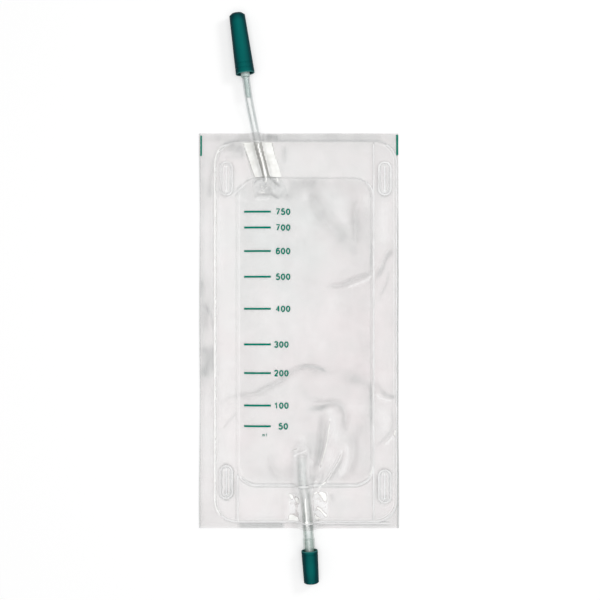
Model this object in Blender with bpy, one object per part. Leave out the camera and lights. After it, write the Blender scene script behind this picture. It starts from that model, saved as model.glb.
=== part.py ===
"""A small drainage bag lying on its back, empty, with its print side up.

Two clear films are welded together round their edges and round a chamber. A hose is welded in at the
top, between the two flaps of a non-return valve, and carries a stepped connector under a long cap.
A wider hose is welded in at the bottom, and carries a short connector under a short cap.
Lengths are in metres. X runs to the right, Y to the top of the bag and Z up from the table.
"""

import math

import bmesh
import bpy
from mathutils import Matrix, Vector
from mathutils.geometry import delaunay_2d_cdt, intersect_point_line

# Films
bag_width = 0.160
bag_height = 0.317
film_wall = 0.0003
gap = 0.0003

# Welds, measured in from the bag's edges
outer_weld_left = 0.0121
outer_weld_right = 0.0017
outer_weld_top = 0.0065
outer_weld_bottom = 0.0052
outer_weld_corner = 0.017
chamber_left = 0.0309
chamber_right = 0.0205
chamber_top = 0.0358
chamber_bottom = 0.0362
chamber_corner = 0.016
bead_half_width = 0.0006
bead_height = 0.0003

# Slack of the empty films between the welds, and how far from a weld the folds begin
chamber_slack = 0.0022
margin_slack = 0.0006
slack_run = 0.012
chamber_fold_fade = 0.006
margin_fold_fade = 0.0035

# Strap slots, each inside a welded ring
slot_length = 0.021
slot_width = 0.0008
ring_length = 0.026
ring_width = 0.0095
slot_from_top = 0.0363
slot_from_bottom = 0.0370
lower_right_slot_drop = 0.0035

# Inlet hose, connector and cap
inlet_hose_radius = 0.0032
inlet_hose_wall = 0.0010
inlet_from_left = 0.0457
inlet_lean = math.radians(8.0)
inlet_reach_x = -0.0085
inlet_reach_y = 0.0464
inlet_spigot_length = 0.0165
inlet_spigot_bore = 0.0012
inlet_hub_radius = 0.0036
inlet_hub_length = 0.0040
inlet_hub_outside_cap = 0.0022
inlet_collar_depth = 0.0085
inlet_collar_length = 0.0030
inlet_taper_length = 0.0310
inlet_taper_start_radius = 0.0043
inlet_taper_tip_radius = 0.0031
inlet_step_height = 0.0005
inlet_steps = 4
inlet_nozzle_bore = 0.0019
inlet_cap_length = 0.0487
inlet_cap_mouth_radius = 0.0076
inlet_cap_end_radius = 0.0062
inlet_cap_wall = 0.0012
inlet_cap_chamfer = 0.0018
inlet_cap_rings = (0.0044, 0.0081)

# Outlet hose, connector and cap
outlet_hose_radius = 0.00425
outlet_hose_wall = 0.0011
outlet_from_left = 0.0875
outlet_lean = math.radians(3.5)
outlet_reach_x = 0.0009
outlet_reach_y = 0.0164
outlet_flare = 0.00065
outlet_flare_run = 0.0012
outlet_spigot_length = 0.0150
outlet_hose_depth_in_cap = 0.0050
outlet_collar_length = 0.0020
outlet_nozzle_length = 0.0120
outlet_nozzle_radius = 0.0034
outlet_nozzle_tip_radius = 0.0029
outlet_nozzle_bore = 0.0020
outlet_cap_length = 0.0264
outlet_cap_mouth_radius = 0.0066
outlet_cap_end_radius = 0.00595
outlet_cap_wall = 0.0011
outlet_cap_chamfer = 0.0008
outlet_cap_rings = (0.0030,)

# Non-return valve: two flaps of thin film round the inlet hose's end
flap_wall = 0.0002
flap_half_width = 0.0118
flap_top_inset = 0.0070
flap_beyond_hose = 0.0145
flap_clearance = 0.0008
flap_lift_run = 0.0050

# Caps
ring_depth = 0.00025
ring_half_width = 0.0004
table_clearance = 0.0001

# Form of the meshes
facets_round = 36
contour_step = 0.018
corner_points = 4
fill_step = 0.0085
clear_of_contour = 0.0026
hose_point_step = 0.0032
sleeve_flank = math.radians(60.0)
sleeve_row_step = 0.0060
tent_stretch = 0.30

# Where each hose runs, from the point where it crosses the bag's edge, read from its inner end outwards
inlet_inner_route = ((0.0098, -0.0378), (0.0062, -0.0240), (0.0028, -0.0104), (-0.0024, 0.0102))
outlet_inner_route = ((-0.0051, 0.0575), (-0.0049, 0.0440), (-0.0041, 0.0305), (-0.0012, 0.0155), (-0.0003, 0.0020))

# Folds in the slack of the front film: points as shares of the bag's width and height from its lower
# left corner, then the fold's height and its half width
folds = (
    (((0.631, 0.299), (0.621, 0.248), (0.611, 0.203), (0.581, 0.147), (0.553, 0.121)), 0.0022, 0.0028),
    (((0.560, 0.312), (0.631, 0.317), (0.696, 0.317), (0.736, 0.289), (0.721, 0.243)), 0.0014, 0.0026),
    (((0.721, 0.208), (0.706, 0.177), (0.671, 0.147), (0.619, 0.118)), 0.0012, 0.0019),
    (((0.766, 0.243), (0.776, 0.203), (0.756, 0.157), (0.696, 0.128)), 0.0009, 0.0028),
    (((0.216, 0.331), (0.274, 0.340), (0.344, 0.357), (0.419, 0.378), (0.475, 0.401),
      (0.535, 0.411), (0.616, 0.406), (0.651, 0.390)), 0.0012, 0.0024),
    (((0.706, 0.395), (0.786, 0.380), (0.862, 0.355)), 0.0012, 0.0040),
    (((0.641, 0.614), (0.721, 0.616), (0.766, 0.629), (0.822, 0.639), (0.866, 0.650)), 0.0012, 0.0021),
    (((0.550, 0.857), (0.586, 0.824), (0.616, 0.791), (0.666, 0.761), (0.756, 0.725)), 0.0016, 0.0048),
    (((0.786, 0.832), (0.781, 0.781), (0.786, 0.715)), 0.0014, 0.0028),
    (((0.887, 0.370), (0.922, 0.345), (0.953, 0.332), (0.981, 0.329)), 0.0010, 0.0018),
    (((0.967, 0.304), (0.967, 0.256), (0.932, 0.228), (0.892, 0.208)), 0.0010, 0.0018),
    (((0.975, 0.710), (0.932, 0.682), (0.912, 0.654), (0.882, 0.629)), 0.0012, 0.0018),
    (((0.953, 0.651), (0.942, 0.624), (0.907, 0.588)), 0.0008, 0.0015),
)

# Heights and places that follow
weld_height = film_wall + gap
flap_lift = 2 * (flap_wall + gap)
inlet_cap_axis_height = inlet_cap_mouth_radius + table_clearance
outlet_cap_axis_height = outlet_cap_mouth_radius + table_clearance
inlet_hose_height = weld_height + flap_wall + gap + inlet_hose_radius
outlet_hose_height = weld_height + outlet_hose_radius
inlet_axis = Vector((-math.sin(inlet_lean), math.cos(inlet_lean), 0))
outlet_axis = Vector((math.sin(outlet_lean), -math.cos(outlet_lean), 0))

# The origin is under the middle of the bag and its outlet
outlet_end_across = (outlet_cap_end_radius - outlet_cap_chamfer) * math.sin(outlet_lean)
outlet_overhang = outlet_reach_y + outlet_cap_length * math.cos(outlet_lean) + outlet_end_across
bag_middle = outlet_overhang / 2
bag_right = bag_width / 2
bag_left = -bag_right
bag_top = bag_middle + bag_height / 2
bag_bottom = bag_middle - bag_height / 2

inlet_entry = Vector((bag_left + inlet_from_left, bag_top, 0))
outlet_exit = Vector((bag_left + outlet_from_left, bag_bottom, 0))
inlet_mouth = inlet_entry + Vector((inlet_reach_x, inlet_reach_y, inlet_cap_axis_height))
outlet_mouth = outlet_exit + Vector((outlet_reach_x, -outlet_reach_y, outlet_cap_axis_height))


def clear_scene():
    for thing in list(bpy.data.objects):
        bpy.data.objects.remove(thing)


def plastic(name, colour, roughness, alpha=1.0):
    material = bpy.data.materials.new(name)
    material.use_nodes = True
    shader = material.node_tree.nodes["Principled BSDF"]
    shader.inputs["Base Color"].default_value = (*colour, 1.0)
    shader.inputs["Roughness"].default_value = roughness
    shader.inputs["Metallic"].default_value = 0.0
    shader.inputs["Alpha"].default_value = alpha
    return material


def add_object(name, data, material):
    thing = bpy.data.objects.new(name, data)
    thing.data.materials.append(material)
    bpy.context.collection.objects.link(thing)
    return thing


def finish_mesh(name, mesh_builder, material, sharp_angle=35.0):
    mesh = bpy.data.meshes.new(name)
    mesh_builder.to_mesh(mesh)
    mesh_builder.free()
    mesh.shade_smooth()
    mesh.set_sharp_from_angle(angle=math.radians(sharp_angle))
    return add_object(name, mesh, material)


def ease(value):
    value = min(max(value, 0.0), 1.0)
    return value * value * (3 - 2 * value)


# Curves that the hoses follow

def smooth_curve(points, step):
    """Points along a Catmull-Rom curve through the given points, about one step apart."""
    ends = [2 * points[0] - points[1], *points, 2 * points[-1] - points[-2]]
    result = [points[0].copy()]
    for before, start, end, after in zip(ends, ends[1:], ends[2:], ends[3:]):
        count = max(1, round((end - start).length / step))
        for number in range(1, count + 1):
            share = number / count
            bend = 2 * before - 5 * start + 4 * end - after
            twist = 3 * start - before - 3 * end + after
            result.append(
                start + 0.5 * (share * (end - before) + share ** 2 * bend + share ** 3 * twist)
            )
    return result


def inlet_route():
    """The inlet hose's centreline: flat inside the bag, then up to the axis of its cap."""
    points = [inlet_entry + Vector((x, y, inlet_hose_height)) for x, y in inlet_inner_route]
    straight = inlet_hub_outside_cap + inlet_spigot_length
    points.append(inlet_mouth - inlet_axis * straight)
    points.append(inlet_mouth - inlet_axis * (inlet_hub_outside_cap + gap))
    return smooth_curve(points, hose_point_step)


def outlet_route():
    """The outlet hose's centreline: on the back film, then rising to the axis of its cap."""
    rise = outlet_cap_axis_height - outlet_hose_height
    rise_start = outlet_inner_route[1][1]
    points = []
    for x, y in outlet_inner_route:
        height = outlet_hose_height + rise * ease(1 - y / rise_start)
        points.append(outlet_exit + Vector((x, y, height)))
    outer_end = outlet_mouth + outlet_axis * outlet_hose_depth_in_cap
    points.append(outer_end - outlet_axis * (outlet_spigot_length - outlet_flare_run))
    points.append(outer_end)
    return smooth_curve(points, hose_point_step)


inlet_line = inlet_route()
outlet_line = outlet_route()


def place_on_line(line, y):
    """The point of a hose's centreline at one Y, carried straight on past its inner end."""
    inner, following = line[0], line[1]
    inwards = -1 if following.y > inner.y else 1
    if (y - inner.y) * inwards >= 0:
        run = (inner - following) / (inner.y - following.y)
        return Vector((inner.x + run.x * (y - inner.y), y, inner.z))
    for start, end in zip(line, line[1:]):
        low, high = sorted((start.y, end.y))
        if low <= y <= high:
            return start.lerp(end, (y - start.y) / (end.y - start.y))
    return line[-1].copy()


def hose_object(name, line, radius, wall, material, flare_from=None):
    """A bent tube: a bevelled curve with a wall, wider where it is stretched over a spigot."""
    curve = bpy.data.curves.new(name, "CURVE")
    curve.dimensions = "3D"
    curve.bevel_depth = radius
    curve.bevel_resolution = 6
    spline = curve.splines.new("POLY")
    spline.points.add(len(line) - 1)
    for point, place in zip(spline.points, line):
        point.co = (*place, 1.0)
        if flare_from is not None:
            outwards = (place - flare_from).dot(outlet_axis)
            point.radius = 1 + outlet_flare / radius * ease(outwards / outlet_flare_run)
    spline.use_smooth = True
    thing = add_object(name, curve, material)
    shell = thing.modifiers.new("hose wall", "SOLIDIFY")
    shell.thickness = wall
    shell.offset = -1.0
    return thing


# Turned pieces

def turned(name, profile, base, axis, material):
    """A profile of (radius, distance along the axis) turned about the axis from its base point."""
    builder = bmesh.new()
    points = [builder.verts.new((radius, 0, along)) for radius, along in profile]
    edges = [builder.edges.new(pair) for pair in zip(points, points[1:])]
    if profile[0][0] > 0:
        edges.append(builder.edges.new((points[-1], points[0])))
    bmesh.ops.spin(
        builder,
        geom=points + edges,
        axis=(0, 0, 1),
        cent=(0, 0, 0),
        angle=2 * math.pi,
        steps=facets_round,
        use_merge=True,
    )
    bmesh.ops.remove_doubles(builder, verts=builder.verts, dist=0.000002)
    bmesh.ops.recalc_face_normals(builder, faces=builder.faces)
    thing = finish_mesh(name, builder, material)
    thing.matrix_world = Matrix.Translation(base) @ axis.to_track_quat("Z", "X").to_matrix().to_4x4()
    return thing


def cap_profile(length, mouth_radius, end_radius, wall, chamfer, rings):
    """A tapered cap, open at its mouth, with shallow rings and a chamfered closed end."""
    def outside(along):
        return mouth_radius + (end_radius - mouth_radius) * along / length

    profile = [(0, length), (end_radius - chamfer, length), (outside(length - chamfer), length - chamfer)]
    for ring in sorted(rings, reverse=True):
        profile.append((outside(ring + ring_half_width), ring + ring_half_width))
        profile.append((outside(ring) - ring_depth, ring))
        profile.append((outside(ring - ring_half_width), ring - ring_half_width))
    rim = wall / 4
    profile.append((outside(rim), rim))
    profile.append((outside(0) - rim, 0))
    profile.append((outside(0) - wall + rim, 0))
    profile.append((outside(rim) - wall, rim))
    inner_end = length - chamfer - wall
    profile.append((outside(inner_end) - wall, inner_end))
    profile.append((0, inner_end))
    return profile


def inlet_connector_profile():
    """Spigot, hub, sealing collar and a stepped taper, with a bore right through."""
    spigot_radius = inlet_hose_radius - inlet_hose_wall - gap
    hub_start = -inlet_hub_outside_cap
    hub_end = hub_start + inlet_hub_length
    collar_end = inlet_collar_depth + inlet_collar_length
    taper = (inlet_cap_end_radius - inlet_cap_mouth_radius) / inlet_cap_length
    collar_bore = inlet_cap_mouth_radius + taper * collar_end - inlet_cap_wall
    collar_radius = collar_bore - gap
    tip = collar_end + inlet_taper_length
    step_length = inlet_taper_length / inlet_steps
    fall = (inlet_taper_start_radius - inlet_taper_tip_radius) / inlet_steps

    profile = [(inlet_nozzle_bore, tip)]
    for step in range(inlet_steps):
        low_radius = inlet_taper_tip_radius + fall * step
        top = tip - step_length * step
        profile.append((low_radius, top))
        profile.append((low_radius + inlet_step_height, top - 0.75 * step_length))
        profile.append((low_radius + fall - inlet_step_height / 2, top - 0.80 * step_length))
    neck = inlet_taper_start_radius - inlet_step_height
    profile += [
        (neck, collar_end),
        (collar_radius - gap, collar_end),
        (collar_radius, collar_end - inlet_collar_length / 3),
        (collar_radius, inlet_collar_depth),
        (neck, inlet_collar_depth),
        (neck, hub_end),
        (inlet_hub_radius, hub_end),
        (inlet_hub_radius, hub_start),
        (spigot_radius, hub_start),
        (spigot_radius, hub_start - 0.85 * inlet_spigot_length),
        (spigot_radius * 0.85, hub_start - inlet_spigot_length),
        (inlet_spigot_bore, hub_start - inlet_spigot_length),
        (inlet_spigot_bore, hub_start),
        (inlet_nozzle_bore, hub_end),
    ]
    return profile


def outlet_connector_profile():
    """Spigot that stretches the hose, a sealing collar inside the cap and a short nozzle."""
    spigot_radius = outlet_hose_radius + outlet_flare - outlet_hose_wall - gap
    collar_start = outlet_hose_depth_in_cap + gap
    collar_end = collar_start + outlet_collar_length
    taper = (outlet_cap_end_radius - outlet_cap_mouth_radius) / outlet_cap_length
    collar_radius = outlet_cap_mouth_radius + taper * collar_end - outlet_cap_wall - gap
    tip = collar_end + outlet_nozzle_length
    spigot_tip = outlet_hose_depth_in_cap - outlet_spigot_length + outlet_flare_run
    return [
        (outlet_nozzle_bore, tip),
        (outlet_nozzle_tip_radius, tip),
        (outlet_nozzle_radius, collar_end),
        (collar_radius - gap, collar_end),
        (collar_radius, collar_end - outlet_collar_length / 3),
        (collar_radius, collar_start),
        (spigot_radius, collar_start),
        (spigot_radius, spigot_tip + 2 * outlet_flare_run),
        (spigot_radius - outlet_flare, spigot_tip),
        (outlet_nozzle_bore, spigot_tip),
    ]


# The films' shapes in plan

outer_box = (
    bag_left + outer_weld_left,
    bag_bottom + outer_weld_bottom,
    bag_right - outer_weld_right,
    bag_top - outer_weld_top,
)
chamber_box = (
    bag_left + chamber_left,
    bag_bottom + chamber_bottom,
    bag_right - chamber_right,
    bag_top - chamber_top,
)


def slot_places():
    left = (outer_box[0] + chamber_box[0]) / 2
    right = (chamber_box[2] + outer_box[2]) / 2
    top = bag_top - slot_from_top
    bottom = bag_bottom + slot_from_bottom
    return ((left, top), (right, top), (left, bottom), (right, bottom - lower_right_slot_drop))


def rounded_rectangle(box, radius, grow=0.0, step=contour_step, turns=corner_points):
    """The closed outline of a box with round corners, drawn outwards or inwards by grow."""
    left, bottom, right, top = box
    reach = radius + grow
    centres = (
        (right - radius, top - radius, 0),
        (left + radius, top - radius, 1),
        (left + radius, bottom + radius, 2),
        (right - radius, bottom + radius, 3),
    )
    corners = []
    for x, y, quarter in centres:
        for number in range(turns + 1):
            angle = math.pi / 2 * (quarter + number / turns)
            corners.append(Vector((x + reach * math.cos(angle), y + reach * math.sin(angle))))
    points = []
    for start, end in zip(corners, corners[1:] + corners[:1]):
        count = max(1, math.ceil((end - start).length / step))
        points += [start.lerp(end, number / count) for number in range(count)]
    return points


def inside_depth(point, box, radius):
    """How far a point lies inside a box with round corners, negative outside it."""
    left, bottom, right, top = box
    across = abs(point.x - (left + right) / 2) - ((right - left) / 2 - radius)
    up = abs(point.y - (bottom + top) / 2) - ((top - bottom) / 2 - radius)
    outside = math.hypot(max(across, 0), max(up, 0))
    return radius - outside - min(max(across, up), 0)


def slot_box(place, length, width):
    x, y = place
    return (x - width / 2, y - length / 2, x + width / 2, y + length / 2)


def side_welds():
    """The chamber's side welds run on to the outer weld: the left one down, the right one both ways."""
    left, bottom, right, top = chamber_box
    return (
        (Vector((left, bottom + chamber_corner)), Vector((left, outer_box[1]))),
        (Vector((right, bottom + chamber_corner)), Vector((right, outer_box[1]))),
        (Vector((right, top - chamber_corner)), Vector((right, outer_box[3]))),
    )


def distance_to_segment(point, start, end):
    nearest, share = intersect_point_line(point, start, end)
    if share <= 0:
        return (point - start).length
    if share >= 1:
        return (point - end).length
    return (point - nearest).length


def fold_points(fold):
    return [Vector((bag_left + across * bag_width, bag_bottom + up * bag_height)) for across, up in fold[0]]


def fold_height(point, fold):
    """The height that one fold adds at a point: a round ridge that dies away at both its ends."""
    points = fold_points(fold)
    distance, along = min(
        (distance_to_segment(point, start, end), number)
        for number, (start, end) in enumerate(zip(points, points[1:]))
    )
    start, end = points[along], points[along + 1]
    share = (along + min(max(intersect_point_line(point, start, end)[1], 0), 1)) / (len(points) - 1)
    fade = ease(4 * min(share, 1 - share))
    return fold[1] * fade * ease(1 - distance / (2 * fold[2]))


# Heights of the films above the table

def sleeve_height(point, line, radius):
    """The height of a film laid over a hose at a radius from its axis: round on top, then straight flanks.

    Past the hose's inner end the film comes down as a longer tent.
    """
    place = place_on_line(line, point.y)
    inner = line[0]
    outwards = 1 if line[1].y > inner.y else -1
    past_end = max(0.0, (inner.y - point.y) * outwards)
    across = math.hypot(point.x - place.x, past_end * tent_stretch)
    turn_across = radius * math.sin(sleeve_flank)
    if across <= turn_across:
        return place.z + math.sqrt(radius ** 2 - across ** 2)
    return place.z + radius * math.cos(sleeve_flank) - (across - turn_across) * math.tan(sleeve_flank)


def sleeve_foot(line, radius, floor_height):
    """How far from the axis the sleeve's straight flank meets the film's plane."""
    turn_height = line[0].z + radius * math.cos(sleeve_flank) - floor_height
    return radius * math.sin(sleeve_flank) + turn_height / math.tan(sleeve_flank)


flap_top = bag_top - flap_top_inset
flap_bottom = inlet_line[0].y - flap_beyond_hose
front_inlet_radius = inlet_hose_radius + gap + flap_wall + gap
front_outlet_radius = outlet_hose_radius + gap + outlet_flare


def flap_cover(point):
    """1 over the valve's flaps and their clearance, falling to 0 a few millimetres outside them."""
    middle = place_on_line(inlet_line, point.y).x
    across = max(0.0, abs(point.x - middle) - flap_half_width)
    along = max(0.0, point.y - flap_top, flap_bottom - point.y)
    return ease(1 - (math.hypot(across, along) - 2 * flap_clearance) / flap_lift_run)


def flap_outline(grow):
    """The flaps' leaning outline, drawn outwards by grow."""
    levels = (flap_top + grow, flap_bottom - grow)
    middles = [place_on_line(inlet_line, level).x for level in levels]
    reach = flap_half_width + grow
    return (
        (middles[0] - reach, levels[0]),
        (middles[1] - reach, levels[1]),
        (middles[1] + reach, levels[1]),
        (middles[0] + reach, levels[0]),
    )


def bead(distance):
    return bead_height * max(0.0, 1 - abs(distance) / bead_half_width)


def front_film_height(point):
    """The underside of the front film: welds, beads, slack, folds, valve flaps and hose sleeves."""
    in_chamber = inside_depth(point, chamber_box, chamber_corner)
    in_outer = inside_depth(point, outer_box, outer_weld_corner)
    in_margin = min(in_outer, -in_chamber)
    slack = chamber_slack * ease(in_chamber / slack_run)
    slack += margin_slack * ease(in_margin / slack_run * 2)
    fade = max(ease(in_chamber / chamber_fold_fade), ease(in_margin / margin_fold_fade))
    slack += fade * sum(fold_height(point, fold) for fold in folds)
    welds = [bead(in_chamber), bead(in_outer)]
    welds += [bead(distance_to_segment(point, *weld)) for weld in side_welds()]
    ring = (ring_length, ring_width)
    for place in slot_places():
        in_ring = inside_depth(point, slot_box(place, *ring), ring_width / 2)
        welds.append(bead(in_ring))
        if in_ring > 0:
            slack = 0.0
    height = weld_height + max(slack, flap_lift * flap_cover(point)) + max(welds)
    over_inlet = sleeve_height(point, inlet_line, front_inlet_radius)
    over_outlet = sleeve_height(point, outlet_line, front_outlet_radius)
    return max(height, over_inlet, over_outlet)


# The films as meshes

class Plan:
    """Points and lines in plan that a film's mesh has to follow."""

    def __init__(self):
        self.points = []
        self.edges = []

    def line(self, points, closed=False):
        first = len(self.points)
        self.points += [Vector(point[:2]) for point in points]
        last = len(self.points) - 1
        self.edges += [(number, number + 1) for number in range(first, last)]
        if closed:
            self.edges.append((last, first))

    def fill(self, box, step, clear):
        """Add a staggered grid of points inside a box, clear of every line."""
        left, bottom, right, top = box
        lines = [(self.points[start], self.points[end]) for start, end in self.edges]
        rows = int((top - bottom) / step)
        columns = int((right - left) / step)
        for row in range(1, rows):
            for column in range(1, columns):
                stagger = 0.5 * (row % 2)
                x = left + (column + stagger) * (right - left) / columns
                y = bottom + row * (top - bottom) / rows
                point = Vector((x, y))
                if all(distance_to_segment(point, *line) > clear for line in lines):
                    self.points.append(point)

    def surface(self, holes):
        """Triangles between all the points, without those inside the holes."""
        points, _, faces = delaunay_2d_cdt(self.points, self.edges, [], 0, 0.00001)[:3]
        kept = []
        for face in faces:
            middle = sum((points[number] for number in face), Vector((0, 0))) / len(face)
            if not any(inside_depth(middle, hole, radius) > 0 for hole, radius in holes):
                kept.append(face)
        return points, kept


def film_from_plan(name, plan, holes, height, wall, material):
    """Lift a plan's triangles to the underside of a film and give it its wall above them."""
    points, faces = plan.surface(holes)
    builder = bmesh.new()
    corners = [builder.verts.new((point.x, point.y, height(point))) for point in points]
    for face in faces:
        builder.faces.new([corners[number] for number in face])
    loose = [corner for corner in builder.verts if not corner.link_faces]
    bmesh.ops.delete(builder, geom=loose, context="VERTS")
    bmesh.ops.remove_doubles(builder, verts=builder.verts, dist=0.00005)
    for face in builder.faces:
        if face.normal.z < 0:
            face.normal_flip()
    thing = finish_mesh(name, builder, material)
    shell = thing.modifiers.new("film wall", "SOLIDIFY")
    shell.thickness = wall
    shell.offset = 1.0
    return thing


def film_plan():
    plan = Plan()
    corners = ((bag_right, bag_top), (bag_left, bag_top), (bag_left, bag_bottom), (bag_right, bag_bottom))
    plan.line(corners, closed=True)
    slot_size = (slot_length, slot_width)
    for place in slot_places():
        slot = slot_box(place, *slot_size)
        plan.line(rounded_rectangle(slot, slot_width / 2, turns=2), closed=True)
    return plan


def film_holes():
    slot_size = (slot_length, slot_width)
    return [(slot_box(place, *slot_size), slot_width / 2) for place in slot_places()]


def sleeve_lines(plan, line, radius, floor_height, edge):
    """Lines along a hose's sleeve, from the bag's edge to the end of the tent past the hose."""
    foot = sleeve_foot(line, radius, floor_height)
    inner = line[0]
    inwards = -1 if line[1].y > inner.y else 1
    tent_end = inner.y + inwards * foot / tent_stretch
    rows = max(2, round(abs(tent_end - edge) / sleeve_row_step))
    levels = [edge + (tent_end - edge) * number / rows for number in range(rows + 1)]
    for across in (-foot, -radius * 0.866, -radius * 0.5, 0, radius * 0.5, radius * 0.866, foot):
        plan.line([(place_on_line(line, level).x + across, level) for level in levels])


def front_film(material):
    plan = film_plan()
    for grow in (-bead_half_width, 0, bead_half_width):
        plan.line(rounded_rectangle(outer_box, outer_weld_corner, grow), closed=True)
        plan.line(rounded_rectangle(chamber_box, chamber_corner, grow), closed=True)
        for start, end in side_welds():
            plan.line([start + Vector((grow, 0)), end + Vector((grow, 0))])
        for place in slot_places():
            ring = slot_box(place, ring_length, ring_width)
            plan.line(rounded_rectangle(ring, ring_width / 2, grow, turns=5), closed=True)
    plan.line(flap_outline(flap_clearance), closed=True)
    sleeve_lines(plan, inlet_line, front_inlet_radius, weld_height, bag_top)
    sleeve_lines(plan, outlet_line, front_outlet_radius, weld_height, bag_bottom)
    for fold in folds:
        points = fold_points(fold)
        plan.line(points)
        for side in (-1, 1):
            run = [end - start for start, end in zip(points, points[1:])]
            run.append(run[-1])
            beside = [Vector((-way.y, way.x)).normalized() * fold[2] * side for way in run]
            plan.line([point + shift for point, shift in zip(points, beside)])
    plan.fill((bag_left, bag_bottom, bag_right, bag_top), fill_step, clear_of_contour)
    return film_from_plan("front_film", plan, film_holes(), front_film_height, film_wall, material)


def back_film(material):
    return film_from_plan("back_film", film_plan(), film_holes(), lambda point: 0.0, film_wall, material)


def valve_flap(name, height, material):
    """A strip of thin film that leans with the inlet hose, as a grid of rows across it."""
    foot = sleeve_foot(inlet_line, inlet_hose_radius + gap, weld_height)
    radius = inlet_hose_radius + gap
    across = [-flap_half_width, -foot, -radius * 0.866, -radius * 0.5, 0]
    across += [-value for value in reversed(across[:-1])]
    rows = max(2, round((flap_top - flap_bottom) / sleeve_row_step))
    builder = bmesh.new()
    grid = []
    for row in range(rows + 1):
        level = flap_bottom + (flap_top - flap_bottom) * row / rows
        middle = place_on_line(inlet_line, level).x
        places = [Vector((middle + value, level)) for value in across]
        grid.append([builder.verts.new((place.x, place.y, height(place))) for place in places])
    for lower, upper in zip(grid, grid[1:]):
        for column in range(len(across) - 1):
            builder.faces.new((lower[column], lower[column + 1], upper[column + 1], upper[column]))
    thing = finish_mesh(name, builder, material)
    shell = thing.modifiers.new("flap wall", "SOLIDIFY")
    shell.thickness = flap_wall
    shell.offset = 1.0
    return thing


def front_flap_height(point):
    flat = weld_height + flap_wall + gap
    return max(flat, sleeve_height(point, inlet_line, inlet_hose_radius + gap))


def build():
    clear_scene()
    clear_film = plastic("clear film", (0.80, 0.81, 0.80), 0.25, 0.45)
    thin_film = plastic("thin valve film", (0.88, 0.90, 0.90), 0.35, 0.6)
    clear_hose = plastic("clear hose", (0.66, 0.72, 0.68), 0.15, 0.6)
    pale_connector = plastic("pale connector", (0.72, 0.85, 0.88), 0.30)
    green_cap = plastic("green cap", (0.004, 0.13, 0.12), 0.35)

    back_film(clear_film)
    front_film(clear_film)
    valve_flap("valve_back_flap", lambda point: weld_height, thin_film)
    valve_flap("valve_front_flap", front_flap_height, thin_film)

    hose_object("inlet_hose", inlet_line, inlet_hose_radius, inlet_hose_wall, clear_hose)
    turned("inlet_connector", inlet_connector_profile(), inlet_mouth, inlet_axis, pale_connector)
    inlet_profile = cap_profile(
        inlet_cap_length, inlet_cap_mouth_radius, inlet_cap_end_radius,
        inlet_cap_wall, inlet_cap_chamfer, inlet_cap_rings,
    )
    turned("inlet_cap", inlet_profile, inlet_mouth, inlet_axis, green_cap)

    flare_start = outlet_line[-1] - outlet_axis * outlet_spigot_length
    hose_object(
        "outlet_hose", outlet_line, outlet_hose_radius, outlet_hose_wall, clear_hose, flare_start
    )
    turned("outlet_connector", outlet_connector_profile(), outlet_mouth, outlet_axis, pale_connector)
    outlet_profile = cap_profile(
        outlet_cap_length, outlet_cap_mouth_radius, outlet_cap_end_radius,
        outlet_cap_wall, outlet_cap_chamfer, outlet_cap_rings,
    )
    turned("outlet_cap", outlet_profile, outlet_mouth, outlet_axis, green_cap)


build()
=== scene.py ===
# %% [markdown]
# # A small drainage bag of clear film
# The bag lies on its back, empty, with its print side up. Two films are welded together round their
# edges and round a chamber, a thin hose comes in at the top under a long green cap, and a wider hose
# leaves at the bottom under a short one. The solids give every place and size, so this lesson only
# makes the looks: film that is nearly not there, hoses with dark walls and satin green caps.

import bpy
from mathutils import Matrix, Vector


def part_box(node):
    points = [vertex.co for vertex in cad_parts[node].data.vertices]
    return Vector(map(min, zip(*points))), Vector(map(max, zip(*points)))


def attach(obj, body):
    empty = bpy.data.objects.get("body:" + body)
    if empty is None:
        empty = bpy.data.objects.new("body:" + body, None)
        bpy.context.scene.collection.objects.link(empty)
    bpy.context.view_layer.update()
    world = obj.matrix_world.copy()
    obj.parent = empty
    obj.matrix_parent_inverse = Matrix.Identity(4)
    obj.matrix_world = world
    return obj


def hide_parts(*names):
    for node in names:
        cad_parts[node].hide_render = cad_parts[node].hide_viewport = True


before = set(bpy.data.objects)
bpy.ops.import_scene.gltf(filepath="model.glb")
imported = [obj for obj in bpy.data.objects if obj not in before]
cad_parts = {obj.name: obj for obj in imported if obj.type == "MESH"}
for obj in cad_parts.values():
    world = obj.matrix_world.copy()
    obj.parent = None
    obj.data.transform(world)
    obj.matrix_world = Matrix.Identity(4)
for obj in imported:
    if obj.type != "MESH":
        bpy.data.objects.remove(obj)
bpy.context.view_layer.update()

# %% Modules, and the bag's edges as the frame gives them
import math

import bmesh
import bpy
import numpy as np
from mathutils import Matrix, Vector, noise

film_low, film_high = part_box("front_film")
bag_left, bag_bottom = film_low.x, film_low.y
bag_right, bag_top = film_high.x, film_high.y
bag_middle = (bag_bottom + bag_top) / 2
mm = 0.001
print("bag", round((bag_right - bag_left) / mm, 1), "by", round((bag_top - bag_bottom) / mm, 1), "mm")

# %% [markdown]
# ## Camera, light and table
# The photograph looks straight down. A camera 0.9 m up with a 67 mm lens frames 0.48 m of table.
# A wide lamp hangs over the bag, a small one stands to the upper right, because the folds are
# brighter on that side, and a pale world fills the rest. The table is white to the camera through
# its own colour and a faint glow that only the camera, gloss and clear walls see, so it keeps the
# bag's shadow.

# %% Camera
camera_height = 0.9
frame_width = 0.4824
view_right, view_up = 0.0008, 0.0247


def link_new(name, data):
    """A new object of some data, in the scene."""
    piece = bpy.data.objects.new(name, data)
    bpy.context.scene.collection.objects.link(piece)
    return piece


camera_data = bpy.data.cameras.new("camera")
camera_data.sensor_width = 36.0
camera_data.lens = camera_data.sensor_width * camera_height / frame_width
camera = link_new("camera", camera_data)
camera.location = (view_right, bag_middle + view_up, camera_height)
bpy.context.scene.camera = camera
print("lens", round(camera_data.lens, 1), "mm")

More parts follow.
